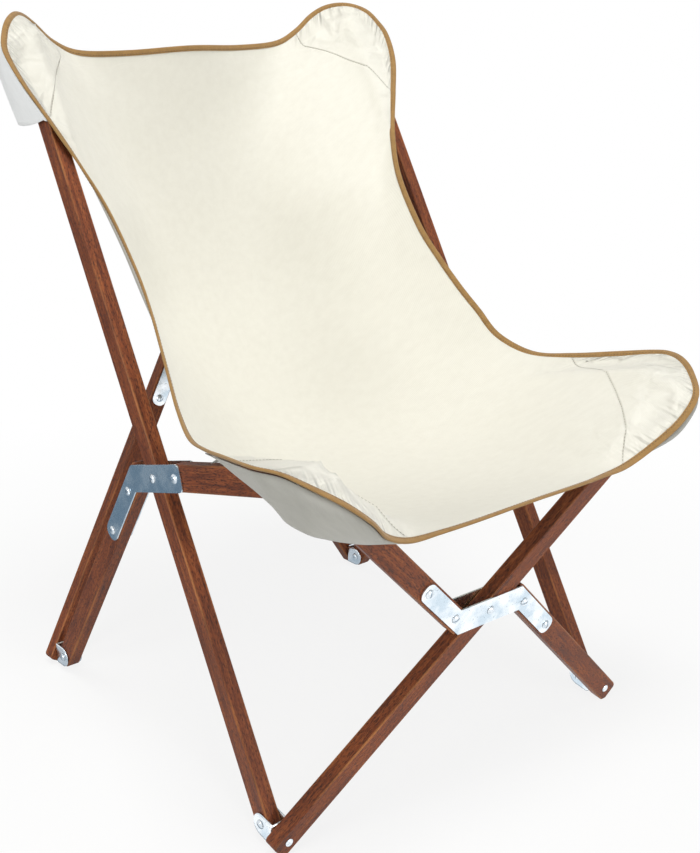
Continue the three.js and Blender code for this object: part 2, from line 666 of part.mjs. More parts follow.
// Pocket under an ear: a sheet from the binding round the ear to the pocket's mouth.
function pocket_geometry([first, last, gap, mouth_points, swell], sign) {
  const mouth = new THREE.CatmullRomCurve3(mouth_points.map(edge_point));
  const middle_turn = (s) => THREE.MathUtils.lerp(first, last, s) / edge_count;
  const start_drop = binding_thickness / 2 + gap + pocket_thickness / 2;
  const surface = (s, t) => {
    const frame = binding_frame(middle_turn(s));
    const start = frame.centre.addScaledVector(frame.normal, -start_drop);
    const bend = start.clone().addScaledVector(swell, Math.sin(Math.PI * s));
    return start.lerp(bend, t).lerp(bend.lerp(mouth.getPoint(s), t), t);
  };
  const geometry = new THREE.BoxGeometry(1, 1, 1, last - first, pocket_rows, 1);
  const position = geometry.attributes.position;
  const step = grid_step_share;
  for (let i = 0; i < position.count; i += 1) {
    const s = position.getX(i) + 0.5;
    const t = 0.5 - position.getY(i);
    const along_s = surface(Math.min(s + step, 1), t).sub(surface(Math.max(s - step, 0), t));
    const along_t = surface(s, Math.min(t + step, 1)).sub(surface(s, Math.max(t - step, 0)));
    const normal = along_t.cross(along_s).normalize();
    const point = surface(s, t).addScaledVector(normal, position.getZ(i) * pocket_thickness);
    position.setXYZ(i, point.x * sign, point.y, point.z);
  }
  return facing_out(mergeVertices(stripped(geometry)));
}

// Turn the faces round where a mirrored or reversed grid left them facing in.
function facing_out(geometry) {
  const position = geometry.attributes.position;
  const index = geometry.index;
  const corner = [0, 1, 2].map(() => new THREE.Vector3());
  let volume = 0;
  for (let i = 0; i < index.count; i += 3) {
    corner.forEach((point, k) => point.fromBufferAttribute(position, index.getX(i + k)));
    volume += corner[0].dot(corner[1].clone().cross(corner[2]));
  }
  if (volume < 0) {
    for (let i = 0; i < index.count; i += 3) {
      const first = index.getX(i);
      index.setX(i, index.getX(i + 1));
      index.setX(i + 1, first);
    }
  }
  return geometry;
}

add("sling", facing_out(sling_geometry()), canvas);
add("sling_binding", facing_out(binding_geometry()), braid);
const rear_mouth_shares = [
  [0.73, -0.092, 0.05], [0.69, -0.099, 0.22], [0.81, -0.092, 0.263], [1, -0.089, 0.276],
  [1.11, -0.076, 0.272], [1.145, -0.049, 0.267], [1.138, 0.008, 0.263], [1.11, 0.069, 0.244],
  [1.055, 0.128, 0.226],
];
const front_mouth_shares = [
  [1.11, 0.83, 1.01], [1.085, 0.9, 1.05], [1.08, 0.96, 1.075], [1.09, 1.0, 1.09], [1.08, 1.055, 1.095],
  [1.02, 1.07, 1.11], [0.93, 1.075, 1.14], [0.8, 1.075, 1.185], [0.66, 1.083, 1.2],
];
const rear_swell = new THREE.Vector3(0, rear_pocket_swell, 0);
const front_swell = new THREE.Vector3(0, -front_pocket_swell, -front_pocket_swell);
const rear_pocket = [rear_pocket_first, rear_pocket_last, rear_pocket_gap, rear_mouth_shares, rear_swell];
const front_pocket = [
  front_pocket_first, front_pocket_last, front_pocket_gap, front_mouth_shares, front_swell,
];
for (const [name, sign] of Object.entries(sides)) {
  add(`${name}_rear_pocket`, pocket_geometry(rear_pocket, sign), canvas_shade);
  add(`${name}_front_pocket`, pocket_geometry(front_pocket, sign), canvas_shade);
}

// The middle of the chair's bounding box stands over the origin.
const bounds = new THREE.Box3().setFromObject(chair);
const y_middle = (bounds.min.y + bounds.max.y) / 2;
for (const mesh of chair.children) mesh.position.y -= y_middle;

// Where the side scissors turn, in (y, z) before that shift
chair.userData.pivots = {
  front_foot_screw, front_ear_screw, rear_foot_screw, rear_ear_screw, side_pivot, arm_hinge, y_middle,
};

export default chair;
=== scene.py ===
"""Looks of a folding sling chair: canvas sling, oiled hardwood boards and zinc-plated metalwork.

Metres, +Z up, the sitter faces -Y and the sitter's left is +X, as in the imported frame.
"""

import logging
import math
from dataclasses import dataclass, field
from enum import Enum
from typing import Any

import bpy
import numpy as np
from mathutils import Matrix, Vector


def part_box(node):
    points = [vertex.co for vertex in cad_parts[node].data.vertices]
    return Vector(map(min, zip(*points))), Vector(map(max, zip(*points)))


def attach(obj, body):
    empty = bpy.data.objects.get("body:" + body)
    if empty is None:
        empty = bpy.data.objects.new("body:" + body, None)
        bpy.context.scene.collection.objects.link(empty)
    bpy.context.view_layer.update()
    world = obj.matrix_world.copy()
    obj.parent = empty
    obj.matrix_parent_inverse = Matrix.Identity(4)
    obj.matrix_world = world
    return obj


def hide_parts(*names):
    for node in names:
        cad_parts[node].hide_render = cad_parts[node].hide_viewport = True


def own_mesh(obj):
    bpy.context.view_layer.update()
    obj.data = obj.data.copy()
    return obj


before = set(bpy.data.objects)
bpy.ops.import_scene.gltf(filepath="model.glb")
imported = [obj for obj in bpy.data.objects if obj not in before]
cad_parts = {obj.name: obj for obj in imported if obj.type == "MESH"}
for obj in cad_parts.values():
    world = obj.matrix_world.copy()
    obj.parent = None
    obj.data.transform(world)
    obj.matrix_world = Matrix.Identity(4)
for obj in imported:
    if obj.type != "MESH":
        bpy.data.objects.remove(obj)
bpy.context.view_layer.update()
Array = np.ndarray
log = logging.getLogger("chair")

# Places of the wooden frame: half the spacing of the side frames, then (y, z) of hubs, pivot and hinge,
# and the directions across the chair and square to each cross scissor
SIDE_X = 0.290
REAR_HUB = (0.312193, 0.926948)
FRONT_HUB = (-0.304480, 0.489437)
SIDE_PIVOT = (-0.009853, 0.400)
ARM_HINGE = (-0.060353, 0.4165)
ACROSS = np.array([1.0, 0.0, 0.0])
FRONT_NORMAL = np.array([0.0, -0.990340, -0.138648])
REAR_NORMAL = np.array([0.0, -0.998145, 0.060887])


class Side(Enum):
    """The sitter's right or left, as the sign of x."""

    RIGHT = -1
    LEFT = 1

    @property
    def word(self) -> str:
        """The side's name in node and body names."""
        return self.name.lower()


class Slot(Enum):
    """Names of the record's material slots; nothing here uses them."""

    ZINC = "zinc"
    CANVAS = "canvas"
    POCKET = "pocket_canvas"
    BRAID = "braid"


# Small tools


def linear(code: str) -> tuple[float, float, float, float]:
    """Turn an sRGB hex value into linear red, green, blue and alpha.

    Args:
        code: Six hex digits after a hash sign.

    Returns:
        Linear RGBA with alpha 1.
    """
    parts = [int(code[i:i + 2], 16) / 255 for i in (1, 3, 5)]
    channels = [c / 12.92 if c <= 0.04045 else ((c + 0.055) / 1.055) ** 2.4 for c in parts]
    return (*channels, 1.0)


def add_node(tree: bpy.types.NodeTree, kind: str, settings: dict[Any, Any] | None = None,
             links: dict[Any, bpy.types.NodeSocket] | None = None) -> bpy.types.Node:
    """Add one node with its settings and links.

    Args:
        tree: Node tree that gets the node.
        kind: The node's type name.
        settings: Input values by name or number, "stops" for a colour ramp, or the node's own attributes.
        links: Sockets to link, by the name or number of the input.

    Returns:
        The new node.
    """
    node = tree.nodes.new(kind)
    for key, value in (settings or {}).items():
        if key == "stops":
            ramp = node.color_ramp
            while len(ramp.elements) < len(value):
                ramp.elements.new(0.5)
            for element, (place, colour) in zip(ramp.elements, value):
                element.position = place
                element.color = colour
        elif isinstance(key, int) or key in node.inputs:
            node.inputs[key].default_value = value
        else:
            setattr(node, key, value)
    for key, socket in (links or {}).items():
        tree.links.new(socket, node.inputs[key])
    return node


def new_material(name: str, values: dict[str, Any]) -> tuple[bpy.types.Material, bpy.types.Node]:
    """Make a material with one Principled shader.

    Args:
        name: Name of the real material and how it was made.
        values: Constant values of the shader's own sockets.

    Returns:
        The material and its shader node.
    """
    material = bpy.data.materials.new(name)
    material.use_nodes = True
    shader = material.node_tree.nodes["Principled BSDF"]
    for key, value in values.items():
        shader.inputs[key].default_value = value
    return material, shader


def finished(material: bpy.types.Material, shader: bpy.types.Node,
             sockets: dict[str, bpy.types.NodeSocket]) -> bpy.types.Material:
    """Link sockets to the shader's inputs and give the material back."""
    for key, socket in sockets.items():
        material.node_tree.links.new(socket, shader.inputs[key])
    return material


def grid_quads(rows: int, columns: int, wrap_rows: bool = False,
               wrap_columns: bool = False) -> list[list[int]]:
    """Corner numbers of the quads of a grid of points stored row by row.

    Args:
        rows: Number of rows of points.
        columns: Number of columns of points.
        wrap_rows: Whether the last row joins the first.
        wrap_columns: Whether the last column joins the first.

    Returns:
        Quads, four corner numbers each.
    """
    last_row, last_column = rows - (not wrap_rows), columns - (not wrap_columns)
    r, c = np.meshgrid(np.arange(last_row), np.arange(last_column), indexing="ij")
    r2, c2 = (r + 1) % rows, (c + 1) % columns
    corners = [r * columns + c, r * columns + c2, r2 * columns + c2, r2 * columns + c]
    return np.stack(corners, -1).reshape(-1, 4).tolist()


def unit(vectors: Array) -> Array:
    """Scale vectors to length one along the last axis."""
    return vectors / np.maximum(np.linalg.norm(vectors, axis=-1, keepdims=True), 1e-12)


@dataclass
class Mesh:
    """A mesh under construction: points, faces and optional flat places for each point."""

    points: Array
    faces: list[list[int]]
    uv: Array | None = None
    rim: Array | None = None

    def moved(self, matrix: Array, place: Array) -> "Mesh":
        """Turn by a 3 by 3 matrix, whose columns are the new axes, and shift."""
        return Mesh(self.points @ matrix.T + place, self.faces, self.uv)

    def joined(self, other: "Mesh") -> "Mesh":
        """This mesh and another as one."""
        shift = len(self.points)
        faces = self.faces + [[i + shift for i in face] for face in other.faces]
        uv = None if self.uv is None or other.uv is None else np.vstack([self.uv, other.uv])
        return Mesh(np.vstack([self.points, other.points]), faces, uv)

    def object(self, name: str, material: bpy.types.Material, sharp_deg: float = 180.0) -> bpy.types.Object:
        """Put the mesh into the scene.

        Args:
            name: Name of the piece.
            material: Its finish.
            sharp_deg: Edges with a larger angle stay sharp.

        Returns:
            The piece, at the origin.
        """
        mesh = bpy.data.meshes.new(name)
        mesh.from_pydata(self.points.tolist(), [], self.faces)
        corner = np.empty(len(mesh.loops), dtype=np.int32)
        mesh.loops.foreach_get("vertex_index", corner)
        for layer_name, flat in (("cloth", self.uv), ("rim", self.rim)):
            if flat is not None:
                layer = mesh.uv_layers.new(name=layer_name)
                layer.data.foreach_set("uv", flat[corner].astype(np.float32).ravel())
        mesh.shade_smooth()
        if sharp_deg < 180.0:
            mesh.set_sharp_from_angle(angle=math.radians(sharp_deg))
        mesh.materials.append(material)
        mesh.update()
        piece = bpy.data.objects.new(name, mesh)
        bpy.context.scene.collection.objects.link(piece)
        return piece


def thicken(piece: bpy.types.Object, thickness: float, offset: float = 0.0) -> None:
    """Give a sheet its thickness with a Solidify modifier."""
    wall = piece.modifiers.new("thickness", "SOLIDIFY")
    wall.thickness = thickness
    wall.offset = offset
    wall.use_even_offset = True


def spline(points: Array, count: int, closed: bool) -> Array:
    """Uniform Catmull-Rom curve through points: a cubic whose slope at a point is half the step between
    its neighbours.

    Args:
        points: Points that the curve passes, in order.
        count: Number of samples, evenly spread over the points' numbers.
        closed: Whether the last point joins the first.

    Returns:
        Samples of the curve.
    """
    n = len(points)
    t = np.arange(count) / count * n if closed else np.linspace(0, n - 1, count)
    base = np.minimum(np.floor(t).astype(int), n - 1 if closed else n - 2)
    u = (t - base)[:, None]
    pick = (lambda i: points[i % n]) if closed else (lambda i: points[np.clip(i, 0, n - 1)])
    a, b, c, d = pick(base - 1), pick(base), pick(base + 1), pick(base + 2)
    return 0.5 * (2 * b + (c - a) * u + (2 * a - 5 * b + 4 * c - d) * u**2 + (3 * b - a - 3 * c + d) * u**3)


def even_steps(curve: Array, count: int) -> Array:
    """Resample a closed curve so that its points lie at equal distances along it."""
    ring = np.vstack([curve, curve[:1]])
    length = np.concatenate([[0], np.cumsum(np.linalg.norm(np.diff(ring, axis=0), axis=1))])
    wanted = np.arange(count) / count * length[-1]
    return np.stack([np.interp(wanted, length, ring[:, k]) for k in range(3)], 1)


# Finishes


@dataclass(frozen=True)
class Hardwood:
    """Red hardwood, planed and oiled: soft brown streaks, short dark pores, and arrises patchily lighter,
    partly wear and partly painted highlight.
    """

    dark: str = "#4C2210"
    middle: str = "#7C3F20"
    light: str = "#96562E"
    worn: str = "#B67A46"
    pore: str = "#260F07"
    streak_mm: float = 5.0
    streak_length_mm: float = 70.0
    pore_mm: float = 0.9  # the real ones are finer; this is what shows from a step away
    pore_length_mm: float = 5.0
    arris_mm: tuple[float, float] = (0.4, 3.4)  # from the edge: the lighter wear and painted highlight is whole, then gone

    def material(self, name: str, axes: Array, middle: Array, half: Array, seed: float) -> bpy.types.Material:
        """Make the wood of one board, with the grain along it.

        Args:
            name: Name of the board.
            axes: Rows are the board's length, width and thickness directions.
            middle: Middle of the board.
            half: Half of the board's length, width and thickness.
            seed: Shifts the pattern so that boards differ.

        Returns:
            The board's material.
        """
        material, shader = new_material(f"oiled_red_hardwood_{name}", {
            "IOR": 1.5, "Specular IOR Level": 0.28})
        tree = material.node_tree
        place = add_node(tree, "ShaderNodeTexCoord").outputs["Object"]
        board = add_node(tree, "ShaderNodeMapping", {
            "Location": (-(axes @ middle)).tolist(), "Rotation": Matrix(axes.tolist()).to_euler("XYZ")},
            {"Vector": place}).outputs[0]
        patterns = []
        for across_mm, along_mm, shift, look in (
                (self.streak_mm, self.streak_length_mm, (seed, seed * 2, 0),
                 {"Detail": 5.0, "Roughness": 0.62, "Distortion": 0.4}),
                (self.pore_mm, self.pore_length_mm, (seed * 3, 0, seed), {"Detail": 2.0})):
            across, along = 1000 / across_mm, 1000 / along_mm
            counted = add_node(tree, "ShaderNodeMapping", {
                "Location": shift, "Scale": (along, across, across)}, {"Vector": board}).outputs[0]
            patterns.append(add_node(tree, "ShaderNodeTexNoise", {"Scale": 1.0, **look},
                                     {"Vector": counted}).outputs["Fac"])
        streaks, pores = patterns
        tint = add_node(tree, "ShaderNodeTexNoise", {"Scale": 7.0, "Detail": 2.0},
                        {"Vector": board}).outputs["Fac"]
        colour = add_node(tree, "ShaderNodeValToRGB", {"stops": [
            (0.28, linear(self.dark)), (0.5, linear(self.middle)), (0.72, linear(self.light))]},
            {0: streaks}).outputs["Color"]
        open_pore, broad, edge_patches, rough = (
            add_node(tree, "ShaderNodeMapRange", {
                "From Min": start, "From Max": end, "To Min": low, "To Max": high},
                {"Value": value}).outputs[0]
            for value, start, end, low, high in (
                (pores, 0.38, 0.50, 0.80, 0.0), (tint, 0.3, 0.7, 0.82, 1.12), (tint, 0.4, 0.65, 0.0, 0.6),
                (streaks, 0.0, 1.0, 0.42, 0.66)))
        pored = add_node(tree, "ShaderNodeMix", {"data_type": "RGBA", 7: linear(self.pore)},
                         {0: open_pore, 6: colour}).outputs[2]
        toned = add_node(tree, "ShaderNodeVectorMath", {"operation": "SCALE"},
                         {0: pored, "Scale": broad}).outputs[0]
        parts = add_node(tree, "ShaderNodeSeparateXYZ", None, {0: board}).outputs
        whole, gone = (mm / 1000 for mm in self.arris_mm)
        nearness = []
        for number in (1, 2):
            reach = float(half[number])
            distance = add_node(tree, "ShaderNodeMath", {"operation": "ABSOLUTE"},
                                {0: parts[number]}).outputs[0]
            nearness.append(add_node(tree, "ShaderNodeMapRange", {
                "interpolation_type": "SMOOTHSTEP", "From Min": reach - gone, "From Max": reach - whole},
                {"Value": distance}).outputs[0])
        arris = add_node(tree, "ShaderNodeMath", {"operation": "MULTIPLY"},
                         dict(enumerate(nearness))).outputs[0]
        patchy = add_node(tree, "ShaderNodeMath", {"operation": "MULTIPLY"},
                          {0: arris, 1: edge_patches}).outputs[0]
        # lighter patches on the arrises: partly wear, partly painted highlight of the edges
        worn = add_node(tree, "ShaderNodeMix", {"data_type": "RGBA", 7: linear(self.worn)},
                        {0: patchy, 6: toned}).outputs[2]
        height = add_node(tree, "ShaderNodeMath", {"operation": "SUBTRACT"},
                          {0: streaks, 1: open_pore}).outputs[0]
        normal = add_node(tree, "ShaderNodeBump", {"Strength": 0.35, "Distance": 0.0004},
                          {"Height": height}).outputs[0]
        return finished(material, shader, {"Base Color": worn, "Roughness": rough, "Normal": normal})


@dataclass(frozen=True)
class ZincPlate:
    """Bright zinc plating on steel: bluish and mirror-like, with broad clouds, fine rub marks and specks."""

    name: str = "zinc_plated_steel_pressed"
    bright: str = "#E8EDF1"
    blue: str = "#C2D1DC"
    cloud_mm: float = 26.0
    rub_mm: float = 1.0
    speck_mm: float = 2.2
    roughness: tuple[float, float] = (0.16, 0.30)
    speck: str = "#5E6A74"

    def material(self) -> bpy.types.Material:
        """Make the plating."""
        material, shader = new_material(self.name, {"Metallic": 1.0})
        tree = material.node_tree
        place = add_node(tree, "ShaderNodeTexCoord").outputs["Object"]
        rubbed = add_node(tree, "ShaderNodeMapping", {"Scale": (90.0, 1000 / self.rub_mm, 120.0)},
                          {"Vector": place}).outputs[0]
        clouds, rubs, specks = (
            add_node(tree, "ShaderNodeTexNoise", {"Scale": scale, "Detail": detail},
                     {"Vector": spot}).outputs["Fac"]
            for spot, scale, detail in (
                (place, 1000 / self.cloud_mm, 3.0), (rubbed, 1.0, 3.0), (place, 1000 / self.speck_mm, 2.0)))
        colour = add_node(tree, "ShaderNodeValToRGB", {"stops": [
            (0.38, linear(self.blue)), (0.60, linear(self.bright))]}, {0: clouds}).outputs["Color"]
        spotted, rough = (
            add_node(tree, "ShaderNodeMapRange", {
                "From Min": start, "From Max": end, "To Min": low, "To Max": high},
                {"Value": value}).outputs[0]
            for value, start, end, low, high in (
                (specks, 0.27, 0.36, 0.5, 0.0), (rubs, 0.3, 0.7, *self.roughness)))
        marked = add_node(tree, "ShaderNodeMix", {"data_type": "RGBA", 7: linear(self.speck)},
                          {0: spotted, 6: colour}).outputs[2]
        normal = add_node(tree, "ShaderNodeBump", {"Strength": 0.05, "Distance": 0.0003},
                          {"Height": clouds}).outputs[0]
        return finished(material, shader, {"Base Color": marked, "Roughness": rough, "Normal": normal})


@dataclass(frozen=True)
class WovenCloth:
    """Cotton cloth, plain woven: crossing threads, slubs and a soft sheen. Its UV is in metres.

    A seam is a pair of flat places, with x taken without its sign. Gathers are stretches of the rim, each
    a middle and a half length along it.
    """

    name: str
    thread: str
    shade: str
    thread_mm: float
    slub_mm: float = 14.0
    relief_mm: float = 0.22
    sheen: float = 0.25
    lean_deg: float = 0.0
    seams: tuple[tuple[tuple[float, float], tuple[float, float]], ...] = ()
    gathers: tuple[tuple[float, float], ...] = ()
    seam_half_mm: float = 1.6
    seam_shade: str = "#8F8B7C"
    seam_darkening: float = 0.16
    seam_depth_mm: float = 0.8
    gather_mm: tuple[float, float] = (10.0, 120.0)
    gather_reach_mm: float = 42.0
    crumple_mm: float = 34.0
    crumple_reach_mm: float = 130.0
    gather_relief_mm: float = 14.0

    def material(self) -> bpy.types.Material:
        """Make the cloth."""
        material, shader = new_material(self.name, {
            "Roughness": 0.92, "Sheen Weight": self.sheen, "Sheen Roughness": 0.5, "IOR": 1.5,
            "Specular IOR Level": 0.25})
        tree = material.node_tree
        place = add_node(tree, "ShaderNodeUVMap", {"uv_map": "cloth"}).outputs[0]
        turned = add_node(tree, "ShaderNodeMapping", {"Rotation": (0, 0, math.radians(self.lean_deg))},
                          {"Vector": place}).outputs[0]
        # a band repeats every 2 pi over (20 times the scale) metres
        waves = [add_node(tree, "ShaderNodeTexWave", {
            "bands_direction": direction, "Scale": 2 * math.pi / (20 * self.thread_mm / 1000),
            "Distortion": 0.6, "Detail": 1.0, "Detail Scale": 2.0}, {"Vector": turned}).outputs["Fac"]
            for direction in ("X", "Y")]
        weave = add_node(tree, "ShaderNodeMath", {"operation": "MULTIPLY"},
                         dict(enumerate(waves))).outputs[0]
        slubs = add_node(tree, "ShaderNodeTexNoise", {
            "Scale": 1000 / self.slub_mm, "Detail": 6.0, "Roughness": 0.65},
            {"Vector": turned}).outputs["Fac"]
        tone = add_node(tree, "ShaderNodeMath", {"operation": "MULTIPLY_ADD", 1: 0.5},
                        {0: weave, 2: slubs}).outputs[0]
        colour = add_node(tree, "ShaderNodeValToRGB", {"stops": [
            (0.05, linear(self.shade)), (1.0, linear(self.thread))]}, {0: tone}).outputs["Color"]
        height = add_node(tree, "ShaderNodeMath", {"operation": "MULTIPLY_ADD", 1: 0.2},
                          {0: slubs, 2: weave}).outputs[0]
        normal = add_node(tree, "ShaderNodeBump", {"Strength": 0.5, "Distance": self.relief_mm / 1000},
                          {"Height": height}).outputs[0]
        if self.gathers:
            normal = self.gathered(tree, normal)
        for seam in self.seams:
            colour, normal = self.sewn(tree, place, seam, colour, normal)
        return finished(material, shader, {"Base Color": colour, "Normal": normal})

    def gathered(self, tree: bpy.types.NodeTree, normal: bpy.types.NodeSocket) -> bpy.types.NodeSocket:
        """Add the ears' crumples, and short puckers at right angles to the rim, where the tape gathers it.

        Args:
            tree: The material's nodes.
            normal: Normal so far.

        Returns:
            The new normal.
        """
        rim = add_node(tree, "ShaderNodeUVMap", {"uv_map": "rim"}).outputs[0]
        along, inward, _ = add_node(tree, "ShaderNodeSeparateXYZ", None, {0: rim}).outputs
        place = add_node(tree, "ShaderNodeTexCoord").outputs["Object"]
        across = add_node(tree, "ShaderNodeSeparateXYZ", None, {0: place}).outputs["X"]
        along_mm, inward_mm = self.gather_mm
        counted = [
            add_node(tree, "ShaderNodeMath", {"operation": "MULTIPLY", 1: factor}, {0: value}).outputs[0]
            for value, factor in ((along, 1000 / along_mm), (inward, 1000 / inward_mm), (across, 3.0))]
        spot = add_node(tree, "ShaderNodeCombineXYZ", None, dict(enumerate(counted))).outputs[0]
        puckers = add_node(tree, "ShaderNodeTexNoise", {"Scale": 1.0, "Detail": 1.0},
                           {"Vector": spot}).outputs["Fac"]
        crumples = add_node(tree, "ShaderNodeTexNoise", {
            "Scale": 1000 / self.crumple_mm, "Detail": 2.0, "Roughness": 0.4, "Distortion": 0.6},
            {"Vector": place}).outputs["Fac"]
        layers = []
        for pattern, reach_mm, weight in ((puckers, self.gather_reach_mm, 1.1),
                                          (crumples, self.crumple_reach_mm, 1.0)):
            near = add_node(tree, "ShaderNodeMapRange", {
                "interpolation_type": "SMOOTHSTEP", "From Min": 0.0, "From Max": reach_mm / 1000,
                "To Min": weight, "To Max": 0.0}, {"Value": inward}).outputs[0]
            layers.append(add_node(tree, "ShaderNodeMath", {"operation": "MULTIPLY"},
                                   {0: near, 1: pattern}).outputs[0])
        stretches = []
        for middle, half in self.gathers:
            away = add_node(tree, "ShaderNodeMath", {"operation": "SUBTRACT", 1: middle},
                            {0: along}).outputs[0]
            gap = add_node(tree, "ShaderNodeMath", {"operation": "ABSOLUTE"}, {0: away}).outputs[0]
            stretches.append(add_node(tree, "ShaderNodeMapRange", {
                "interpolation_type": "SMOOTHSTEP", "From Min": half * 0.6, "From Max": half * 1.2,
                "To Min": 1.0, "To Max": 0.0}, {"Value": gap}).outputs[0])
        relief, share = (
            add_node(tree, "ShaderNodeMath", {"operation": "ADD"}, dict(enumerate(pair))).outputs[0]
            for pair in (layers, stretches))
        height = add_node(tree, "ShaderNodeMath", {"operation": "MULTIPLY"},
                          {0: relief, 1: share}).outputs[0]
        return add_node(tree, "ShaderNodeBump", {"Strength": 1.0, "Distance": self.gather_relief_mm / 1000},
                        {"Height": height, "Normal": normal}).outputs[0]

    def sewn(self, tree: bpy.types.NodeTree, place: bpy.types.NodeSocket,
             seam: tuple[tuple[float, float], tuple[float, float]], colour: bpy.types.NodeSocket,
             normal: bpy.types.NodeSocket) -> tuple[bpy.types.NodeSocket, bpy.types.NodeSocket]:
        """Add a seam: the cloth is drawn down along a line between two flat places, and darkened there with
        painted shade of the groove.

        Args:
            tree: The material's nodes.
            place: Flat place on the cloth.
            seam: The line's two ends.
            colour: Colour so far.
            normal: Normal so far.

        Returns:
            The new colour and normal.
        """
        first, last = (np.array([*end, 0.0]) for end in seam)
        span = last - first
        kind = "ShaderNodeVectorMath"
        mirrored = add_node(tree, kind, {"operation": "ABSOLUTE"}, {0: place}).outputs[0]
        offset = add_node(tree, kind, {"operation": "SUBTRACT", 1: first.tolist()}, {0: mirrored}).outputs[0]
        dot = add_node(tree, kind, {"operation": "DOT_PRODUCT", 1: span.tolist()},
                       {0: offset}).outputs["Value"]
        way = add_node(tree, "ShaderNodeMapRange", {"From Max": float(span @ span)},
                       {"Value": dot}).outputs[0]
        foot = add_node(tree, kind, {"operation": "SCALE", 0: span.tolist()}, {"Scale": way}).outputs[0]
        gap = add_node(tree, kind, {"operation": "DISTANCE"}, {0: offset, 1: foot}).outputs["Value"]
        drawn = add_node(tree, "ShaderNodeMapRange", {
            "interpolation_type": "SMOOTHSTEP", "From Min": 0.0, "From Max": self.seam_half_mm / 1000,
            "To Min": 1.0, "To Max": 0.0}, {"Value": gap}).outputs[0]
        share, height = (
            add_node(tree, "ShaderNodeMath", {"operation": "MULTIPLY", 1: factor}, {0: drawn}).outputs[0]
            for factor in (self.seam_darkening, -1.0))
        # painted shade along the seam's groove
        darker = add_node(tree, "ShaderNodeMix", {"data_type": "RGBA", 7: linear(self.seam_shade)},
                          {0: share, 6: colour}).outputs[2]
        sunk = add_node(tree, "ShaderNodeBump", {"Strength": 1.0, "Distance": self.seam_depth_mm / 1000},
                        {"Height": height, "Normal": normal}).outputs[0]
        return darker, sunk


@dataclass(frozen=True)
class Thread:
    """Twisted sewing thread, waxed."""

    name: str = "waxed_sewing_thread"
    colour: str = "#6E512C"
    shade: str = "#4C371D"
    twist_per_metre: float = 900.0

    def material(self) -> bpy.types.Material:
        """Make the thread."""
        material, shader = new_material(self.name, {"Roughness": 0.6, "Sheen Weight": 0.2, "IOR": 1.5})
        tree = material.node_tree
        place = add_node(tree, "ShaderNodeTexCoord").outputs["Object"]
        twist = add_node(tree, "ShaderNodeTexNoise", {"Scale": self.twist_per_metre, "Detail": 1.0},
                         {"Vector": place}).outputs["Fac"]
        colour = add_node(tree, "ShaderNodeValToRGB", {"stops": [
            (0.3, linear(self.shade)), (0.7, linear(self.colour))]}, {0: twist}).outputs["Color"]
        return finished(material, shader, {"Base Color": colour})


# Sling


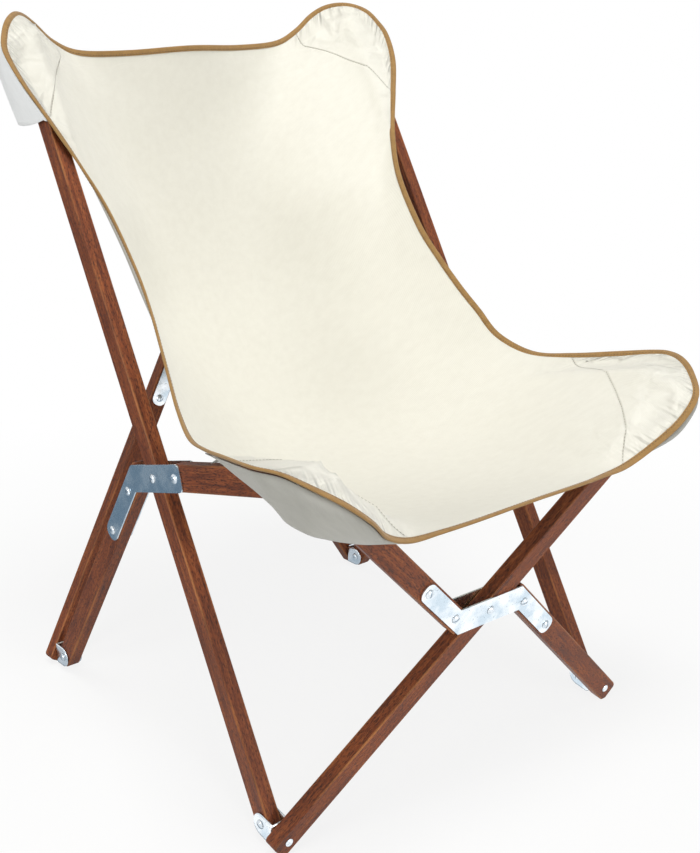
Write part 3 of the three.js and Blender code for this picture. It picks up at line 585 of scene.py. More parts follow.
@dataclass
class SlingShape:
    """The sling's surface: a bowl hung in its edge, resting on the boards and hubs.

    The edge is a closed curve, and a point of the cloth lies between the bowl's lowest point and a point
    of the edge. Across the chair and along the line from the rear ears to the front ones it moves evenly
    with the share of the way, and in depth by a power of it. The edge's Fourier terms above the second
    fade towards the middle, so that its ripples don't run across the bowl.
    """

    upright_width: float = 0.028
    arm_width: float = 0.035
    rest: float = 0.0040  # from a board to the middle of the cloth that lies on it
    drape_slope: float = 0.9
    drape_half: float = 0.023
    upright_clear: float = 0.120  # above the side pivot the cloth can lie on the uprights
    upright_fade: float = 0.160  # height over which its drape from them sets in
    strip_half: float = 0.0150
    hub_strip_half: float = 0.0165
    front_hub_top: float = 0.5065
    front_hub_reach: tuple[float, float] = (-0.352, -0.290)
    arm_rest_start: float = -0.085  # the arm boards rise out of their plates here
    arm_overrun: float = 0.006
    cross_ahead: float = 0.024  # the front boards' ends lie ahead of the screws and above them
    cross_lean: float = 0.14
    cross_over: float = 0.0185
    cross_strip_half: float = 0.016
    cross_reach: float = 0.012
    cross_highest: float = 0.62
    rear_hub_top: float = 0.9455
    cross_slope: float = 0.80
    depth: float = 0.345
    middle_share: float = 0.6
    depth_power: float = 1.75
    centre_share: float = 0.08  # the bowl's lowest point is rounded within this share
    kept_terms: int = 2
    fade_power: float = 0.8
    deepest_fold: float = 0.0014  # keeps the cloth off the boards
    pull_start: float = 0.10
    pull_clear: float = 0.09
    pull_bare: float = 0.4  # share of that distance with no pulls
    pull_out: float = 0.97  # share of the half spacing at which the pulls meet
    pull_phase: float = 0.7
    # pulls at each ear: sign of x, hub, reach, number of them round the ear, height
    pulls: tuple[tuple[int, tuple[float, float], float, int, float], ...] = (
        (-1, REAR_HUB, 0.16, 8, 0.0034), (1, REAR_HUB, 0.17, 9, 0.0044),
        (-1, FRONT_HUB, 0.15, 7, 0.0022), (1, FRONT_HUB, 0.17, 8, 0.0032))
    waviness: float = 0.00016
    wave_count: int = 14
    wave_lengths: tuple[float, float] = (0.08, 0.24)
    edge_samples: int = 8192
    spokes: int = 432
    rings: int = 96
    spread_steps: int = 60
    edge_shares: tuple[tuple[float, float, float], ...] = (
        (0, -0.05, 0.057), (0.34, -0.075, 0.066), (0.61, -0.085, 0.059), (0.75, -0.085, 0.02),
        (0.85, -0.078, -0.035), (0.93, -0.06, -0.066), (1.01, -0.027, -0.073), (1.085, 0.007, -0.052),
        (1.13, 0.031, -0.011), (1.15, 0.056, 0.034), (1.12, 0.1, 0.118), (1.045, 0.143, 0.225),
        (0.955, 0.191, 0.355), (0.886, 0.255, 0.495), (0.866, 0.343, 0.65), (0.883, 0.409, 0.75),
        (0.914, 0.47, 0.841), (0.945, 0.521, 0.911), (0.976, 0.575, 0.984), (1.034, 0.659, 1.025),
        (1.093, 0.756, 1.007), (1.152, 0.859, 0.973), (1.2, 0.94, 0.945), (1.207, 0.98, 0.936),
        (1.166, 1.028, 0.936), (1.11, 1.072, 0.957), (1.017, 1.117, 0.998), (0.9, 1.122, 1.061),
        (0.779, 1.099, 1.132), (0.641, 1.088, 1.173), (0.483, 1.091, 1.177), (0.31, 1.104, 1.168),
        (0, 1.11, 1.161))
    edge: Array = field(init=False)
    points: Array = field(init=False)
    normals: Array = field(init=False)

    def __post_init__(self) -> None:
        """Work out the edge, the surface and its normals."""
        self.edge = even_steps(spline(self.edge_places(), self.edge_samples, True), self.spokes)
        hung = self.hung()
        rested = self.rested(hung)
        self.points = rested + self.folds(hung) * self.surface_normals(rested)
        self.normals = self.surface_normals(self.points)

    @staticmethod
    def share_points(shares: tuple[tuple[float, float, float], ...]) -> Array:
        """Points from shares: of the half spacing out, and of the way from rear hub to front hub."""
        out, along, down = np.array(shares, float).T
        run = np.array(REAR_HUB) - np.array(FRONT_HUB)
        return np.stack([SIDE_X * out, REAR_HUB[0] - run[0] * along, REAR_HUB[1] - run[1] * down], 1)

    def edge_places(self) -> Array:
        """The edge's own points, right round from the rear middle over the sitter's left."""
        half = self.share_points(self.edge_shares)
        return np.vstack([half, half[1:-1][::-1] * np.array([-1, 1, 1])])

    @property
    def shares(self) -> Array:
        """Share of the way from the middle to the edge for each ring."""
        return np.linspace(0, 1, self.rings + 1)

    def hung(self) -> Array:
        """The bowl, as an array of ring, spoke and xyz.

        With E the faded edge, the chord's own directions along and down, and r the share: x is r times
        E's, the run along is the middle's plus r times the rest, and the depth is the bowl's plus the
        rest times r to the depth power, where the root of r squared plus c squared stands for r to round
        the lowest point.
        """
        share = np.maximum(self.shares, 1e-6)[:, None]
        terms = np.fft.rfft(self.edge, axis=0)
        fade = self.fade_power * np.maximum(np.arange(len(terms)) - self.kept_terms, 0)
        edge = np.fft.irfft(terms[None] * (share ** fade[None])[:, :, None], n=self.spokes, axis=1)
        rear, front = np.array(REAR_HUB), np.array(FRONT_HUB)
        chord = float(np.linalg.norm(front - rear))
        along = (front - rear) / chord
        down = np.array([-along[1], along[0]])
        from_rear = edge[..., 1:] - rear
        middle = self.middle_share * chord
        run = middle + (from_rear @ along - middle) * share
        power, round_share = self.depth_power, self.centre_share
        rounded = (share**2 + round_share**2) ** (power / 2) - round_share**power
        depth = self.depth + (from_rear @ down - self.depth) * rounded / rounded[-1]
        place = rear + run[..., None] * along + depth[..., None] * down
        return np.concatenate([(edge[..., 0] * share)[..., None], place], -1)

    def rested(self, points: Array) -> Array:
        """Lift the surface off the uprights behind, and off the arm boards, hubs and cross boards in front.

        On a board's own strip the lift is whole. Beside it the height falls by a share of the distance,
        and fades out at the edge.
        """
        rear, front = np.array(REAR_HUB), np.array(FRONT_HUB)
        pivot, hinge = np.array(SIDE_PIVOT), np.array(ARM_HINGE)
        aside = np.abs(np.abs(points[..., 0]) - SIDE_X)
        fall = self.drape_slope * np.maximum(0, aside - self.drape_half)
        edge_fade = (1 - self.shares**10)[:, None]
        up_along = unit(rear - pivot)
        ahead = np.array([-up_along[1], up_along[0]])
        over_face = self.upright_width / 2 + self.rest - (points[..., 1:] - pivot) @ ahead
        over_top = (self.rear_hub_top - points[..., 2]) / ahead[1]
        is_rear = (points[..., 1] > hinge[0]) & (points[..., 2] > pivot[1] + self.upright_clear)
        risen = np.clip((points[..., 2] - pivot[1] - self.upright_clear) / self.upright_fade, 0, 1)
        over_upright = np.minimum(over_face, over_top)
        soft = (over_upright - fall) * edge_fade * risen**2 * (3 - 2 * risen)
        need = np.maximum(np.where(aside < self.strip_half, over_upright, 0), soft)
        points = self.lifted(points, np.where(is_rear, need, 0), ahead)
        arm_along = unit(front - hinge)
        above = np.array([arm_along[1], -arm_along[0]])
        past = (points[..., 1:] - front) @ arm_along
        over_arm = (self.arm_width / 2 + self.rest - (points[..., 1:] - hinge) @ above) / above[1]
        near_front = past < self.arm_overrun
        on_arm = (aside < self.strip_half) & (points[..., 1] < self.arm_rest_start) & near_front
        by_arm = (points[..., 1] < hinge[0]) & near_front
        low, high = self.front_hub_reach
        on_hub = (aside < self.hub_strip_half) & (points[..., 1] > low) & (points[..., 1] < high)
        out = np.abs(points[..., 0])
        cross_y = front[0] - self.cross_ahead - self.cross_lean * (points[..., 2] - front[1])
        cross_top = front[1] + self.cross_over + self.rest - self.cross_slope * (SIDE_X - out)
        on_cross = np.abs(points[..., 1] - cross_y) < self.cross_strip_half
        on_cross &= (out < SIDE_X + self.cross_reach) & (points[..., 2] < self.cross_highest)
        need = np.zeros(points.shape[:2])
        for where, height in ((on_arm, over_arm), (by_arm, (over_arm - fall) * edge_fade),
                              (on_hub, self.front_hub_top - points[..., 2]),
                              (on_cross, np.minimum(cross_top, self.front_hub_top) - points[..., 2])):
            need = np.maximum(need, np.where(where, height, 0))
        return self.lifted(points, need, np.array([0.0, 1.0]))

    def lifted(self, points: Array, need: Array, direction: Array) -> Array:
        """Move points along a (y, z) direction by at least what each needs.

        The lift is averaged with its neighbours over and over, and raised again where it is needed, so
        that it falls off softly beside a board. It stays zero on the edge.
        """
        need = np.maximum(need, 0)
        need[-1] = 0
        lift = need.copy()
        for _ in range(self.spread_steps):
            around = (np.roll(lift, 1, 1) + np.roll(lift, -1, 1)) / 2
            lift[1:-1] = (around[1:-1] + (lift[2:] + lift[:-2]) / 2) / 2
            lift = np.maximum(lift, need)
            lift[-1] = 0
        moved = points.copy()
        moved[..., 1] += direction[0] * lift
        moved[..., 2] += direction[1] * lift
        return moved

    def folds(self, points: Array) -> Array:
        """Height of the soft folds: pulls that run from each ear, and a faint waviness of the canvas.

        A pull is a cosine of the angle round its ear, faded with the distance from the ear. The waviness
        is a sum of plane waves with fixed phases. Both fade out at the edge.
        """
        fade = (1 - self.shares**12)[:, None]
        height = np.zeros(points.shape[:2])
        for x, (y, z), reach, count, size in self.pulls:
            ear = np.array([x * SIDE_X * self.pull_out, y, z])
            gap = points - ear
            distance = np.linalg.norm(gap, axis=-1)
            slope = np.arctan2(gap[..., 0] * -x, np.hypot(gap[..., 1], gap[..., 2]) + 1e-6)
            fall = np.exp(-((distance - self.pull_start) / reach) ** 2)
            fall = fall * np.clip(distance / self.pull_clear - self.pull_bare, 0, 1)
            height += size * fall * np.cos(count * slope + self.pull_phase * x)
        rng = np.random.default_rng(7)
        for _ in range(self.wave_count):
            direction = unit(rng.normal(size=3))
            wave = 2 * math.pi / rng.uniform(*self.wave_lengths)
            height += self.waviness * np.sin(wave * (points @ direction) + rng.uniform(0, 2 * math.pi))
        return (np.maximum(height, -self.deepest_fold) * fade)[..., None]

    @staticmethod
    def surface_normals(points: Array) -> Array:
        """Unit normals towards the sitter: the direction round the rings crossed with the one outward."""
        around = np.roll(points, -1, 1) - np.roll(points, 1, 1)
        outward = np.gradient(points, axis=0)
        normals = np.cross(around, outward)
        normals[0] = normals[1].mean(0)
        return unit(normals)

    def edge_arc(self) -> Array:
        """Length along the edge from the rear middle to each spoke, the shorter way round."""
        edge = self.points[-1]
        step = np.linalg.norm(np.roll(edge, -1, 0) - edge, axis=1)
        arc = np.concatenate([[0], np.cumsum(step)[:-1]])
        return np.minimum(arc, step.sum() - arc)

    def nearest_spoke(self, number: int) -> int:
        """Spoke nearest to one of the edge's own points, on the sitter's left."""
        point = self.edge_places()[number]
        return int(np.argmin(((self.points[-1] - point) ** 2).sum(1)))

    def seam(self, first: int, last: int) -> tuple[tuple[float, float], tuple[float, float]]:
        """Flat places of two of the edge's own points."""
        ends = self.cloth_uv(self.points[-1][[self.nearest_spoke(first), self.nearest_spoke(last)]])
        return tuple(map(float, ends[0])), tuple(map(float, ends[1]))

    def stretch(self, first: int, last: int) -> tuple[float, float]:
        """Middle and half length of the rim between two of the edge's own points."""
        arc = self.edge_arc()
        low, high = float(arc[self.nearest_spoke(first)]), float(arc[self.nearest_spoke(last)])
        return (low + high) / 2, (high - low) / 2

    def seam_line(self, first: int, last: int, pitch: float) -> tuple[Array, Array]:
        """Places and normals at even steps along the straight seam between two of the edge's own points.

        On each spoke between them it is the place where the flat cloth crosses the line between the ends'
        flat places.
        """
        spokes = np.arange(self.nearest_spoke(first), self.nearest_spoke(last) + 1)
        start, end = np.array(self.seam(first, last))
        flat = self.cloth_uv(self.points[:, spokes]) - start
        span = end - start
        side = span[0] * flat[..., 1] - span[1] * flat[..., 0]
        crossed = (side[1:] * side[:-1] <= 0)[::-1]
        ring = np.where(crossed.any(0), self.rings - 1 - crossed.argmax(0), self.rings - 1)
        column = np.arange(len(spokes))
        low, high = side[ring, column], side[ring + 1, column]
        share = np.clip(np.where(np.abs(high - low) > 1e-9, low / (low - high), 1.0), 0, 1)[:, None]
        share[[0, -1]] = 1.0
        ring[[0, -1]] = self.rings - 1

        def blended(values: Array) -> Array:
            """Values of the two rings round the crossing, mixed by its share."""
            return values[ring, spokes] * (1 - share) + values[ring + 1, spokes] * share

        line, normals = blended(self.points), blended(self.normals)
        length = np.concatenate([[0], np.cumsum(np.linalg.norm(np.diff(line, axis=0), axis=1))])
        wanted = np.arange(2 * pitch, length[-1] - 2 * pitch, pitch)
        sampled = [np.stack([np.interp(wanted, length, values[:, k]) for k in range(3)], 1)
                   for values in (line, normals)]
        return sampled[0], unit(sampled[1])

    def rim_places(self) -> Array:
        """For each point after the middle one, its spoke's length along the edge and its way in from it."""
        step = np.linalg.norm(np.diff(self.points, axis=0), axis=-1)
        inward = np.cumsum(step[::-1], axis=0)[::-1] - step
        return np.stack([np.broadcast_to(self.edge_arc(), inward.shape), inward], -1).reshape(-1, 2)

    def cloth_uv(self, points: Array) -> Array:
        """Flat place of points on the cloth in metres: x, and the arc length along the middle line."""
        chord = unit(np.array(FRONT_HUB) - np.array(REAR_HUB))
        line = np.vstack([self.points[::-1, 0], self.points[1:, self.spokes // 2]])[:, 1:]
        length = np.concatenate([[0], np.cumsum(np.linalg.norm(np.diff(line, axis=0), axis=1))])
        along = np.interp(points[..., 1:] @ chord, line @ chord, length)
        return np.stack([points[..., 0], along], -1)


@dataclass
class Sling:
    """The cloth with its tape binding and stitches."""

    shape: SlingShape
    cloth: bpy.types.Material
    tape: bpy.types.Material
    thread: bpy.types.Material
    seam_thread: bpy.types.Material
    rear_ends: tuple[int, int] = (3, 11)
    front_ends: tuple[int, int] = (20, 29)
    thickness: float = 0.0012
    tape_half_width: float = 0.0044
    tape_half_height: float = 0.0019
    tape_steps: int = 1152
    section: int = 14
    squareness: float = 0.6  # power of the section's cosine and sine, where 1 is an ellipse
    stitch_out: float = 0.45  # share of the tape's half width
    seam_lift: float = 0.6  # of the cloth's thickness, from its middle to a stitch
    stitch_pitch: float = 0.0046
    stitch_length: float = 0.0032
    stitch_width: float = 0.0009
    flat: tuple[float, float] = (0.80, 1.24)
    area: float = 0.70

    def build_cloth(self) -> bpy.types.Object:
        """Mesh of the cloth: a fan of triangles round the middle point, then quads ring by ring."""
        shape = self.shape
        rings = shape.points[1:].reshape(-1, 3)
        points = np.vstack([shape.points[0, :1], rings])
        quads = [[i + 1 for i in face] for face in grid_quads(shape.rings, shape.spokes, wrap_columns=True)]
        spokes = np.arange(shape.spokes)
        fan = np.stack([np.zeros_like(spokes), (spokes + 1) % shape.spokes + 1, spokes + 1], 1)
        faces = fan.tolist() + quads
        rim = np.vstack([[[0.0, 1.0]], shape.rim_places()])
        return Mesh(points, faces, shape.cloth_uv(points), rim).object("sling_cloth", self.cloth)

    def edge_frame(self, count: int) -> tuple[Array, Array, Array, Array]:
        """Centre, forward, outward and upward directions at even steps along the edge."""
        shape = self.shape
        source = np.linspace(0, shape.spokes, count, endpoint=False)
        number = np.arange(shape.spokes + 1)

        def resampled(values: Array) -> Array:
            """Values of the spokes at the wanted steps."""
            ring = np.vstack([values, values[:1]])
            return np.stack([np.interp(source, number, ring[:, k]) for k in range(3)], 1)

        centre = resampled(shape.points[-1])
        forward = unit(np.roll(centre, -1, 0) - np.roll(centre, 1, 0))
        upward = resampled(sum(np.roll(shape.normals[-1], k, 0) for k in range(-4, 5)))
        upward = unit(upward - (upward * forward).sum(1, keepdims=True) * forward)
        return centre, forward, np.cross(upward, forward), upward

    def build_binding(self) -> bpy.types.Object:
        """Tape folded over the edge: a superellipse section carried along the edge.

        The section's half width and half height follow the cosine and sine of the angle, each raised to
        a power below one, which gives flat faces and round sides.
        """
        centre, _, outward, upward = self.edge_frame(self.tape_steps)
        angle = 2 * math.pi * np.arange(self.section) / self.section
        across = np.sign(np.cos(angle)) * np.abs(np.cos(angle)) ** self.squareness * self.tape_half_width
        over = np.sign(np.sin(angle)) * np.abs(np.sin(angle)) ** self.squareness * self.tape_half_height
        points = (centre[:, None] + across[None, :, None] * outward[:, None]
                  + over[None, :, None] * upward[:, None])
        length = np.arange(self.tape_steps) * self.edge_length() / self.tape_steps
        around = np.linspace(0, 4 * self.tape_half_width, self.section, endpoint=False)
        uv = np.stack(np.broadcast_arrays(around[None, :], length[:, None]), -1).reshape(-1, 2)
        quads = grid_quads(self.tape_steps, self.section, True, True)
        return Mesh(points.reshape(-1, 3), quads, uv).object("sling_tape", self.tape)

    def edge_length(self) -> float:
        """Length of the edge."""
        edge = self.shape.points[-1]
        return float(np.linalg.norm(np.roll(edge, -1, 0) - edge, axis=1).sum())

    def grains(self, seat: Array, forward: Array, outward: Array, upward: Array) -> Mesh:
        """Stitches, each a small flat grain: a six-sided section carried over four stations.

        Args:
            seat: Middle of each stitch.
            forward: Direction along each stitch.
            outward: Direction across it.
            upward: Direction away from the cloth.

        Returns:
            One mesh of all of them.
        """
        sides, swell = 6, np.array([0.25, 1.0, 1.0, 0.25])
        stations = np.linspace(-0.5, 0.5, len(swell)) * self.stitch_length
        size = swell[:, None] * self.stitch_width
        angle = 2 * math.pi * np.arange(sides) / sides
        across, over = size * np.cos(angle) / 2, size * np.sin(angle) / 3
        seat, forward, outward, upward = (rows[:, None, None] for rows in (seat, forward, outward, upward))
        points = (seat + forward * stations[None, :, None, None] + outward * across[..., None]
                  + upward * over[..., None])
        each = sides * len(swell)
        body = grid_quads(len(swell), sides, wrap_columns=True)
        caps = [list(range(sides))[::-1], list(range(each - sides, each))]
        faces = [[i + each * k for i in face] for k in range(len(seat)) for face in [*body, *caps]]
        return Mesh(points.reshape(-1, 3), faces)

    def build_stitches(self) -> bpy.types.Object:
        """One row of stitches on each face of the tape."""
        count = int(self.edge_length() / self.stitch_pitch)
        centre, forward, outward, upward = self.edge_frame(count)
        rows = None
        for face in (1, -1):
            seat = centre - outward * self.tape_half_width * self.stitch_out
            seat = seat + upward * face * self.tape_half_height
            row = self.grains(seat, forward, outward, upward)
            rows = row if rows is None else rows.joined(row)
        return rows.object("sling_tape_stitches", self.thread)

    def build_seams(self) -> bpy.types.Object:
        """A row of stitches across each ear, where its pocket is sewn to the cloth."""
        rows = None
        for first, last in (self.rear_ends, self.front_ends):
            line, normals = self.shape.seam_line(first, last, self.stitch_pitch)
            for side in Side:
                flip = np.array([side.value, 1, 1])
                seat, upward = line * flip, normals * flip
                forward = unit(np.gradient(seat, axis=0))
                outward = unit(np.cross(upward, forward))
                row = self.grains(seat + upward * self.thickness * self.seam_lift, forward, outward, upward)
                rows = row if rows is None else rows.joined(row)
        return rows.object("pocket_seam_stitches", self.seam_thread)

    def dress(self) -> list[bpy.types.Object]:
        """Build the cloth, tape and stitches, and hide the CAD pieces that they replace.

        Returns:
            The pieces of the sling.
        """
        cloth, tape = self.build_cloth(), self.build_binding()
        stitches, seams = self.build_stitches(), self.build_seams()
        thicken(cloth, self.thickness)
        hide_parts("sling")
        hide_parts("sling_binding")
        return [cloth, tape, stitches, seams]


@dataclass
class Pocket:
    """A pocket sewn under an ear: a sheet from the tape round the ear to the pocket's mouth."""

    name: str
    cloth: bpy.types.Material
    side: Side
    sling: Sling
    first: int
    last: int
    mouth: tuple[tuple[float, float, float], ...]
    swell: tuple[float, float, float]
    drop: float = 0.0034
    crease: float = 0.0011
    crease_count: int = 9
    crease_lean: float = 2.2
    edge_steps: int = 16
    columns: int = 96
    rows: int = 30
    thickness: float = 0.0012

    def build(self) -> bpy.types.Object:
        """Mesh of the pocket.

        A point is a quadratic curve from a point under the tape to one on the mouth, with its middle
        control point pushed out by the swell times the sine of the way along. Soft creases run down
        from the tape.
        """
        shape = self.sling.shape
        edge = spline(shape.edge_places(), len(shape.edge_places()) * self.edge_steps, True)
        normals = self.edge_normals(edge)
        s = np.linspace(0, 1, self.columns)
        place = (self.first + s * (self.last - self.first)) * self.edge_steps
        low = np.floor(place).astype(int)
        part = (place - low)[:, None]
        centre = edge[low] * (1 - part) + edge[(low + 1) % len(edge)] * part
        upward = unit(normals[low] * (1 - part) + normals[(low + 1) % len(edge)] * part)
        start = centre - upward * self.drop
        mouth = spline(shape.share_points(self.mouth), self.columns, False)
        bend = start + np.array(self.swell) * np.sin(math.pi * s)[:, None]
        t = np.linspace(0, 1, self.rows)[:, None, None]
        points = start * (1 - t) ** 2 + bend * 2 * t * (1 - t) + mouth * t**2
        along = np.gradient(points, axis=1)
        down = np.gradient(points, axis=0)
        normal = unit(np.cross(down, along))
        wave = np.sin(self.crease_count * math.pi * s + self.crease_lean * t[..., 0])
        crease = self.crease * wave * np.sin(math.pi * t[..., 0])
        points = points + normal * crease[..., None]
        length = np.cumsum(np.linalg.norm(down, axis=-1), 0)
        width = np.cumsum(np.linalg.norm(along, axis=-1), 1)
        uv = np.stack([width, length], -1).reshape(-1, 2)
        points = points.reshape(-1, 3) * np.array([self.side.value, 1, 1])
        quads = grid_quads(self.rows, self.columns)
        if self.side is Side.RIGHT:
            quads = [face[::-1] for face in quads]
        return Mesh(points, quads, uv).object(f"{self.side.word}_{self.name}_cloth", self.cloth)

    def edge_normals(self, edge: Array) -> Array:
        """Cloth normals at points of the edge, taken from the nearest spokes."""
        shape = self.sling.shape
        ring = shape.points[-1]
        nearest = np.argmin(((edge[:, None] - ring[None]) ** 2).sum(-1), axis=1)
        return shape.normals[-1][nearest]

    def dress(self) -> bpy.types.Object:
        """Build the pocket and hide the CAD piece that it replaces."""
        piece = self.build()
        thicken(piece, self.thickness)
        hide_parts(f"{self.side.word}_{self.name}")
        return piece


# Metalwork


@dataclass(frozen=True)
class SlottedHead:
    """Domed screw head with a slot: a square grid drawn onto a disc."""

    radius: float = 0.006
    height: float = 0.003
    slot_half: float = 0.12
    slot_depth: float = 0.0013
    cells: int = 8

    def mesh(self) -> Mesh:
        """Mesh of the head on the plane z = 0.

        A point (u, v) of the square goes to (u times the root of one minus half of v squared, and the
        same with u and v changed over). The height is the dome's, which falls as one minus the radius
        squared to the power 0.6, less the slot's depth where u lies in the slot.
        """
        s = self.slot_half
        side = np.linspace(s * 1.12, 1, self.cells)
        u = np.concatenate([-side[::-1], [-s, -s * 0.5, s * 0.5, s], side])
        v = np.linspace(-1, 1, 2 * self.cells + 1)
        uu, vv = np.meshgrid(u, v, indexing="ij")
        x, y = uu * np.sqrt(1 - vv**2 / 2), vv * np.sqrt(1 - uu**2 / 2)
        dome = self.height * np.clip(1 - x**2 - y**2, 0, 1) ** 0.6
        z = np.where(np.abs(uu) < s * 1.01, np.maximum(dome - self.slot_depth, 0), dome)
        points = np.stack([x * self.radius, y * self.radius, z], -1)
        rows, columns = uu.shape
        number = np.arange(rows * columns).reshape(rows, columns)
        rim = np.concatenate([number[0, :-1], number[:-1, -1], number[-1, :0:-1], number[:0:-1, 0]])
        quads = [face[::-1] for face in grid_quads(rows, columns)]
        return Mesh(points.reshape(-1, 3), quads + [rim.tolist()])


@dataclass(frozen=True)
class Dome:
    """Plain domed rivet head: a profile turned round its axis."""

    radius: float = 0.0055
    height: float = 0.0018
    sides: int = 28

    def mesh(self) -> Mesh:
        """Mesh of the head on the plane z = 0, closed below and at its pole."""
        way = np.linspace(0, 0.5 * math.pi, 7)[:-1]
        angle = 2 * math.pi * np.arange(self.sides) / self.sides
        r, z = self.radius * np.cos(way), self.height * np.sin(way)
        rings = np.stack([r[:, None] * np.cos(angle), r[:, None] * np.sin(angle),
                          np.broadcast_to(z[:, None], (len(way), self.sides))], -1)
        points = np.vstack([rings.reshape(-1, 3), [[0, 0, self.height]]])
        top = (len(way) - 1) * self.sides
        cap = [[top + k, top + (k + 1) % self.sides, len(points) - 1] for k in range(self.sides)]
        quads = grid_quads(len(way), self.sides, wrap_columns=True)
        return Mesh(points, quads + cap + [list(range(self.sides))[::-1]])


@dataclass(frozen=True)
class Shank:
    """Straight shank: a circle carried along its axis, closed at both ends."""

    radius: float = 0.0025
    length: float = 0.025
    sides: int = 14

    def mesh(self) -> Mesh:
        """Mesh of the shank, centred on the origin."""
        angle = 2 * math.pi * np.arange(self.sides) / self.sides
        ring = np.stack([self.radius * np.cos(angle), self.radius * np.sin(angle), np.zeros(self.sides)], 1)
        ends = [ring + [0, 0, z] for z in (-self.length / 2, self.length / 2)]
        caps = [list(range(self.sides))[::-1], list(range(self.sides, 2 * self.sides))]
        return Mesh(np.vstack(ends), grid_quads(2, self.sides, wrap_columns=True) + caps)


def facing(axis: Array, turn: float = 0.0) -> Array:
    """Matrix whose third column is the axis, with the first two turned about it."""
    side = unit(np.cross(axis, [0.31, 0.17, 0.94]))
    other = np.cross(axis, side)
    c, s = math.cos(turn), math.sin(turn)
    return np.stack([c * side + s * other, c * other - s * side, axis], 1)


def centre_of(node: str) -> Array:
    """Middle of a CAD node's box."""
    low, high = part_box(node)
    return (np.array(low) + np.array(high)) / 2


